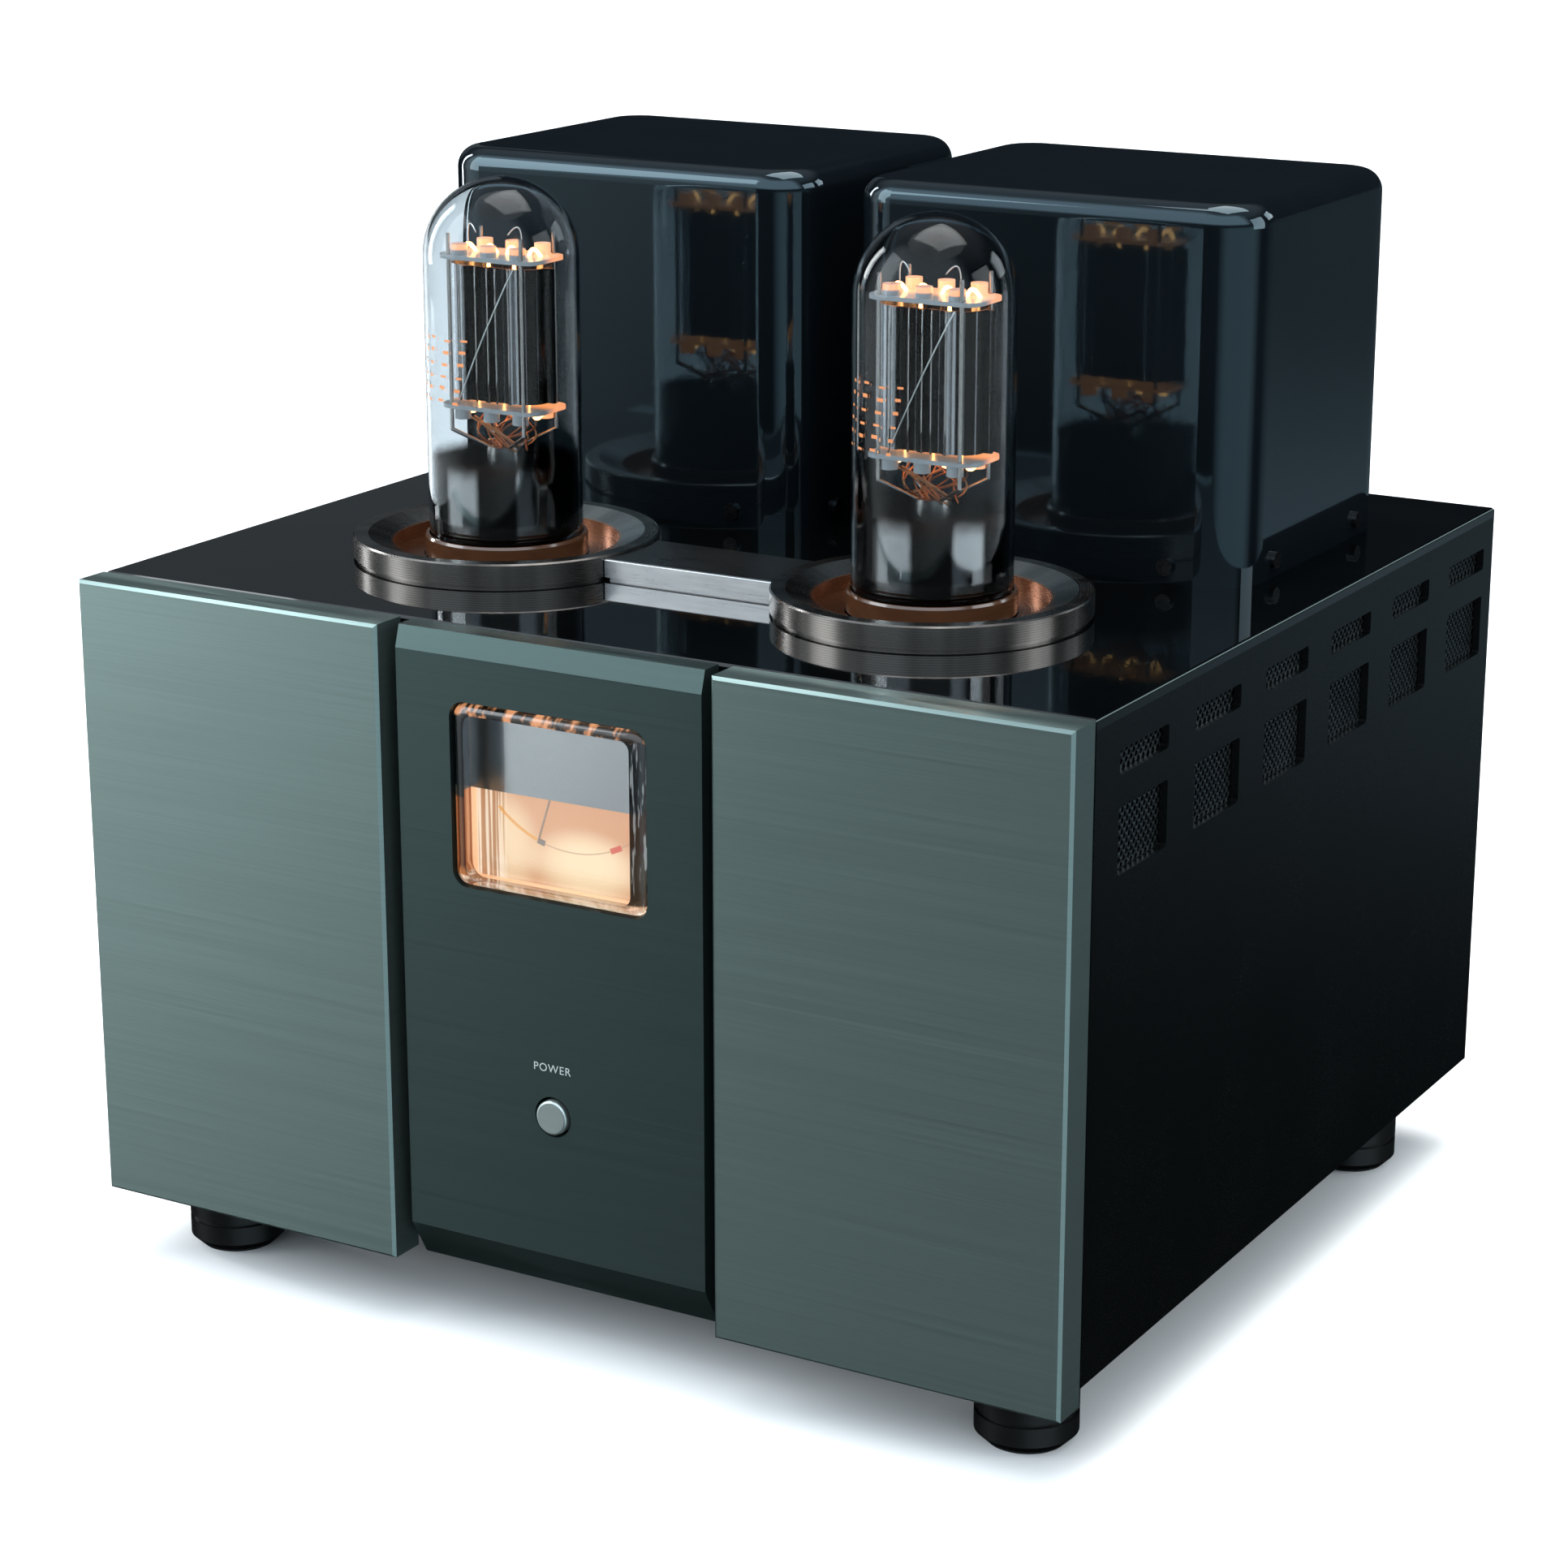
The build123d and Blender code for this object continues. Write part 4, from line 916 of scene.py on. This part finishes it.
def getterFilm(side, centre, radius, baseTop):
    # inside the foot of the glass: the glass's inner profile, a little smaller
    skin = radius - glassWall - getterLook["inset"]
    t = np.linspace(0, math.pi / 2, 10)
    foot = np.stack([skin - 0.008 * (1 - np.sin(t)), baseTop - 0.002 + 0.006 * (1 - np.cos(t))], axis=1)
    rise = np.linspace(foot[-1, 1] + 0.002, deckZ + getterLook["sheetTop"], 12)
    film = np.concatenate([foot, np.stack([np.full(12, skin), rise], axis=1)])
    turns = getterLook["turns"]
    faces = gridFaces(len(film), turns, closeColumns=True).tolist()
    meshPiece(f"getterFilm_{side}", lathe(film, centre, turns), faces,
              getterMirror(f"getterFilm_{side}", centre), f"valve_{side}")


def gridRods(side, centre, anodeLow, anodeHigh):  # upright rods close in front of the anode
    height = np.linspace(anodeLow.z, anodeHigh.z, 6)
    front = height * 0 + anodeLow.y - 0.0007
    rods = [np.stack([height * 0 + centre[0] + across, front, height], axis=1) for across in wireLook["rods"]]
    tubesPiece(f"gridRods_{side}", rods, wireLook["rodRadius"], wireSteel, f"valve_{side}")


def crossWires(side, centre, anodeLow, anodeHigh, spacerTop):
    # the wire that crosses in front of the anode, and two hooks under the dome
    cx, cy = centre
    front = cy - 0.0165
    paths = [bend((cx + 0.0165, front, anodeHigh.z + 0.001), (cx + 0.003, front - 0.003, anodeHigh.z - 0.026),
                  (cx - 0.0105, front, anodeLow.z - 0.001))]
    for turn in (-1, 1):
        foot = (cx + turn * 0.0125, cy - 0.004, spacerTop - 0.002)
        knee = (cx + turn * 0.0135, cy - 0.004, spacerTop + 0.013)
        tip = (cx + turn * 0.0075, cy - 0.006, spacerTop + 0.0045)
        paths.append(bend(foot, knee, tip, 18))
    tubesPiece(f"crossWires_{side}", paths, wireLook["crossRadius"], crossWire, f"valve_{side}")


def leadBundle(side, centre, nutFoot):
    # leads from the lower nuts to the stem, each a bowed curve whose points follow sines of its number
    cx, cy = centre
    leads = []
    for k in range(wireLook["leads"]):
        a = 2 * math.pi * k / wireLook["leads"]
        start = (cx + 0.0125 * math.cos(a * 2 + 0.4), cy + 0.0075 * math.sin(a), nutFoot + 0.001)
        middle = (cx + 0.0165 * math.sin(a * 3), cy + 0.012 * math.cos(a * 2), nutFoot - 0.007)
        end = (cx + 0.0105 * math.cos(a * 1.3), cy + 0.0060 * math.sin(a),
               nutFoot - 0.0120 + 0.002 * math.sin(3 * a))
        leads.append(bend(start, middle, end, 16))
    tubesPiece(f"leads_{side}", leads, wireLook["leadRadius"], leadCopper, f"valve_{side}")


def glassPrint(side, centre, radius, lowest):
    # faded strokes in place of lettering: each stroke's length, height and drop follow a sine of its number
    cx, cy = centre
    number = np.arange(printLook["rows"] * printLook["strokes"])
    row, column = number // printLook["strokes"], number % printLook["strokes"]
    length = printLook["pitch"] * np.clip(0.40 + 0.42 * np.sin(number * 2.7 + cx * 30), 0.04, 0.75)
    first = printLook["from"] + column * printLook["pitch"] + row * 0.03
    angle = first[:, None] + length[:, None] * np.linspace(0, 1, 3)[None, :]
    foot = lowest + 0.002 + row * printLook["line"] + 0.0004 * np.sin(number * 1.9)
    tall = printLook["stroke"] * (0.6 + 0.4 * np.sin(number * 3.3) ** 2)
    height = np.stack([foot, foot + tall], axis=1)[:, :, None]
    skin = radius + 0.00006
    strokes = np.stack([cx + skin * np.cos(angle)[:, None, :] + 0 * height,
                        cy + skin * np.sin(angle)[:, None, :] + 0 * height,
                        height + 0 * angle[:, None, :]], axis=-1)
    start = np.arange(len(number))[:, None, None] * 6
    faces = (gridFaces(2, 3)[None] + start).reshape(-1, 4).tolist()
    meshPiece(f"glassPrint_{side}", strokes, faces, glassPrintInk, f"valve_{side}")


def filamentEnds(side, centre, upper, lower):
    # glowing filament ends: small arches over the upper plate and under the lower one
    cx, cy = centre
    arches = []
    for k in wireLook["ends"]:
        for level, rise in ((upper, wireLook["endRise"]), (lower, -wireLook["endRise"])):
            middle = cx + k * wireLook["endPitch"]
            arches.append(bend((middle - 0.0028, cy + 0.001, level), (middle, cy - 0.001, level + rise),
                               (middle + 0.0028, cy + 0.001, level), 12))
    tubesPiece(f"filamentEnds_{side}", arches, wireLook["endRadius"], hotWire, f"valve_{side}")


for side in valveSides:
    centre = valveCentres[side]
    glassLow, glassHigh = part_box(f"valve_glass_{side}")
    anodeLow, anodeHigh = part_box(f"valve_anode_{side}")
    spacerLow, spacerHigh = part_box(f"valve_spacers_{side}")
    radius = (glassHigh.x - glassLow.x) / 2
    paint(anodeMetal(f"anodeMetal_{side}", centre[0]), f"valve_anode_{side}")
    paint(collar, f"valve_base_{side}")
    paint(wireSteel, f"valve_supports_{side}")
    paint(hotWire, f"valve_filament_{side}")
    paint(spacerCeramic(f"spacerCeramic_{side}", centre, spacerHigh.z), f"valve_spacers_{side}")
    getterFilm(side, centre, radius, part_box(f"valve_base_{side}")[1].z)
    gridRods(side, centre, anodeLow, anodeHigh)
    crossWires(side, centre, anodeLow, anodeHigh, spacerHigh.z)
    leadBundle(side, centre, spacerLow.z)
    glassPrint(side, centre, radius, anodeLow.z)
    filamentEnds(side, centre, spacerHigh.z - 0.0042, spacerLow.z + 0.0042)
print("valves made")


# fine mesh behind the side openings

ventLook = {
    "across": 0.0040,  # one diamond, front to back
    "down": 0.0020,  # half the diamond's height
    "hole": 0.66,  # hole's share of the diamond
    "rounding": (0.86, 1.12),  # of the hole, at its corners and between them
    "lift": 0.00030,  # how far the strands rise where they cross
    "depth": 0.0005,
}


def ventCloth(name, low, high, outward, material):
    # diamonds on a staggered grid; each is an eight-sided hole in an eight-point rhombus outline,
    # raised at its four corners, and the hole's edge is carried inwards by the depth
    a, b = ventLook["across"], ventLook["down"]
    columns = int((high.y - low.y) / a) - 1
    rows = int((high.z - low.z) / b) - 1
    r, c = np.meshgrid(np.arange(rows), np.arange(columns), indexing="ij")
    midY = low.y + a * (c + 0.75 + 0.5 * (r % 2))
    midZ = low.z + b * (r + 1.0)
    quarter = np.array([[0.5, 0], [0.25, 0.5], [0, 1], [-0.25, 0.5]])
    outline = np.concatenate([quarter, -quarter]) * [a, b]
    hole = outline * ventLook["hole"] * np.array(ventLook["rounding"] * 4)[:, None]
    rise = np.array([1.0, 0.0] * 4) * ventLook["lift"]
    rings = ((outline, rise), (hole, rise * 0.2), (hole, rise * 0.2 - ventLook["depth"]))
    skin = (low.x + high.x) / 2
    layers = []
    for shape, lift in rings:
        y = midY[..., None] + shape[:, 0]
        z = midZ[..., None] + shape[:, 1]
        x = np.broadcast_to(skin + outward * lift, y.shape)
        layers.append(np.stack([x, y, z], axis=-1))
    points = np.stack(layers, axis=2)  # rows, columns, layer, corner, xyz
    start = np.arange(rows * columns)[:, None, None] * 24
    faces = (gridFaces(3, 8, closeColumns=True)[None] + start).reshape(-1, 4)
    if outward < 0:
        faces = faces[:, ::-1]
    return meshPiece(name, points, faces.tolist(), material, "root", False)


ventWire = plainMetal("ventWire")
for side, outward in (("left", -1), ("right", 1)):
    low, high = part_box(f"vent_mesh_{side}")
    cloth = ventCloth(f"ventCloth_{side}", low, high, outward, ventWire)
    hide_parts(f"vent_mesh_{side}")
print("vent mesh made")


# label over the power button

labelLook = {
    "size": 0.0045,
    "spacing": 1.12,
    "thickness": 0.00003,
    "above": 0.0192,  # over the button's middle
    "proud": 0.00004,  # in front of the centre panel
}


def textPiece(name, words, centre, material):
    curve = bpy.data.curves.new(name, "FONT")
    curve.body = words
    curve.size = labelLook["size"]
    curve.space_character = labelLook["spacing"]
    curve.align_x = "CENTER"
    curve.align_y = "CENTER"
    curve.extrude = labelLook["thickness"]
    source = bpy.data.objects.new(name + "Source", curve)
    mesh = bpy.data.meshes.new_from_object(source)
    bpy.data.objects.remove(source)
    flat = np.empty(len(mesh.vertices) * 3)
    mesh.vertices.foreach_get("co", flat)
    flat = flat.reshape(-1, 3)
    placed = np.stack([flat[:, 0] + centre[0], centre[1] - flat[:, 2], flat[:, 1] + centre[2]], axis=1)
    mesh.vertices.foreach_set("co", placed.ravel())
    mesh.materials.clear()
    mesh.materials.append(material)
    mesh.name = name
    piece = inScene(name, mesh)
    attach(piece, "root")


buttonLow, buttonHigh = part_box("power_button")
labelZ = (buttonLow.z + buttonHigh.z) / 2 + labelLook["above"]
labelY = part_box("centre_panel")[0].y - labelLook["proud"]
textPiece("powerLabel", "POWER", (0.0, labelY, labelZ), moulded("labelInk"))
print("label made")


# floor, camera, lights and room

cameraLook = {
    "at": (0.74895, -1.32169, 0.63162),
    "down": 0.2898,  # radians under the horizon
    "turn": 0.5278,
    "lens": 87.7,
    "farthest": 100,
}
softBoxes = {
    "keyLeft": {"at": (-1.95, -1.60, 1.45), "size": (1.2, 2.4), "power": 46, "colour": (0.94, 0.98, 1.0)},
    "overhead": {"at": (0.1, 0.3, 2.6), "size": (1.6, 1.6), "power": 42, "colour": (1.0, 1.0, 1.0)},
    "edgeRight": {"at": (2.25, 0.48, 0.95), "size": (1.25, 1.5), "power": 24, "colour": (0.90, 0.96, 1.0)},
    "edgeLeft": {"at": (-2.2, 0.1, 0.9), "size": (0.25, 1.8), "power": 26, "colour": (0.95, 0.98, 1.0)},
    "sideTop": {"at": (0.95, 1.15, 0.95), "size": (0.5, 0.5), "power": 3, "colour": (0.84, 0.94, 1.0)},
    "backLeft": {"at": (-3.2, 2.5, 1.45), "size": (2.3, 1.4), "power": 1.0, "colour": (0.80, 0.92, 1.0)},
}
aim = (0.0, 0.0, 0.25)  # what the soft boxes face
studio = {
    "floorLight": 2.7,  # an even light from above that only the floor and soft shadows show
    "floorAngle": math.radians(60),
    "paper": ((0.80, 0.80, 0.79), (0.83, 0.83, 0.83)),
    "paperGlow": 0.35,  # the paper's own light far from the amplifier
    "glowFrom": (0.7, 2.6),
    "wall": (0.010, 0.014, 0.018),  # the dim room above the floor's level
    "below": (0.001, 0.0013, 0.0015),
    "ceiling": (0.36, 0.40, 0.43),
    "overFront": (1.9, 2.2, 2.45),  # a wide pale screen high in front
}
screens = {  # other pale screens: the direction of each, and how near a direction is at its edges
    "behindRight": {"at": (0.375, 0.927, 0.0), "near": (0.80, 0.97), "colour": (0.15, 0.22, 0.26)},
    "frontRight": {"at": (0.87, -0.50, 0.0), "near": (0.60, 0.92), "colour": (0.60, 0.76, 0.84)},
    "frontLeft": {"at": (-0.816, -0.571, 0.09), "near": (0.835, 1.0), "colour": (1.28, 1.40, 1.44)},
}


def makeFloor():
    place = startMaterial("floorPaper")
    x, y = place.axes()[:2]
    far = ((x * x + y * y) ** 0.5).step(*studio["glowFrom"])
    material = endMaterial(place, {
        "Base Color": place.noise(3.0, 2.0).blend(*studio["paper"]),
        "Roughness": 0.9,
        "Specular IOR Level": 0.1,
        "Emission Color": far.blend(black, (1, 1, 1)),
        "Emission Strength": studio["paperGlow"],
    })
    mesh = bpy.data.meshes.new("floor")
    corners = [(-14, -8, 0), (14, -8, 0), (14, 30, 0), (-14, 30, 0)]
    mesh.from_pydata(corners, [], [(0, 1, 2, 3)])
    mesh.materials.append(material)
    floor = inScene("floor", mesh)
    floor.visible_glossy = False


def makeCamera():
    camera = inScene("camera", bpy.data.cameras.new("camera"))
    camera.location = cameraLook["at"]
    camera.rotation_euler = (math.pi / 2 - cameraLook["down"], 0, cameraLook["turn"])
    camera.data.lens = cameraLook["lens"]
    camera.data.clip_end = cameraLook["farthest"]
    bpy.context.scene.camera = camera


def makeLights():
    for name, box in softBoxes.items():
        data = bpy.data.lights.new(name, "AREA")
        data.shape = "RECTANGLE"
        data.size, data.size_y = box["size"]
        data.energy = box["power"]
        data.color = box["colour"]
        awayX, awayY, awayZ = np.array(box["at"]) - np.array(aim)
        lamp = inScene(name, data)
        lamp.location = box["at"]
        lamp.rotation_euler = (math.atan2(math.hypot(awayX, awayY), awayZ), 0, math.atan2(awayX, -awayY))
    data = bpy.data.lights.new("ceiling", "SUN")
    data.energy = studio["floorLight"]
    data.angle = studio["floorAngle"]
    inScene("ceiling", data).visible_glossy = False


def makeRoom():  # the dim room: dark under the horizon, a little lighter above it, and four soft screens
    world = bpy.data.worlds.new("studio")
    world.use_nodes = True
    tree = world.node_tree
    x, y, z = Sock(tree.nodes.new("ShaderNodeTexCoord").outputs["Generated"]).axes()

    def towards(screen):  # how closely a direction points to the screen
        at = screen["at"]
        return (x * at[0] + y * at[1] + z * at[2]).step(*screen["near"])

    colour = z.step(-0.05, 0.15).blend(studio["below"], studio["wall"])
    colour = z.step(0.45, 0.85).blend(colour, studio["ceiling"])
    low = z.step(-0.33, -0.22) * (z.step(-0.16, -0.23) * 0.65 + 0.35) * z.step(0.10, 0.0)
    colour = (towards(screens["behindRight"]) * low).blend(colour, screens["behindRight"]["colour"])
    low = z.step(0.15, 0.0)
    colour = (towards(screens["frontRight"]) * low).blend(colour, screens["frontRight"]["colour"])
    overFront = y.step(-0.05, -0.35) * window(z, 0.16, 0.34, 0.80, 0.93)
    colour = overFront.blend(colour, studio["overFront"])
    colour = towards(screens["frontLeft"]).blend(colour, screens["frontLeft"]["colour"])
    tree.links.new(colour.socket, tree.nodes["Background"].inputs["Color"])
    bpy.context.scene.world = world


makeFloor()
makeCamera()
makeLights()
makeRoom()
bpy.context.scene.view_settings.view_transform = "Standard"
print("floor, camera, lights and room made")
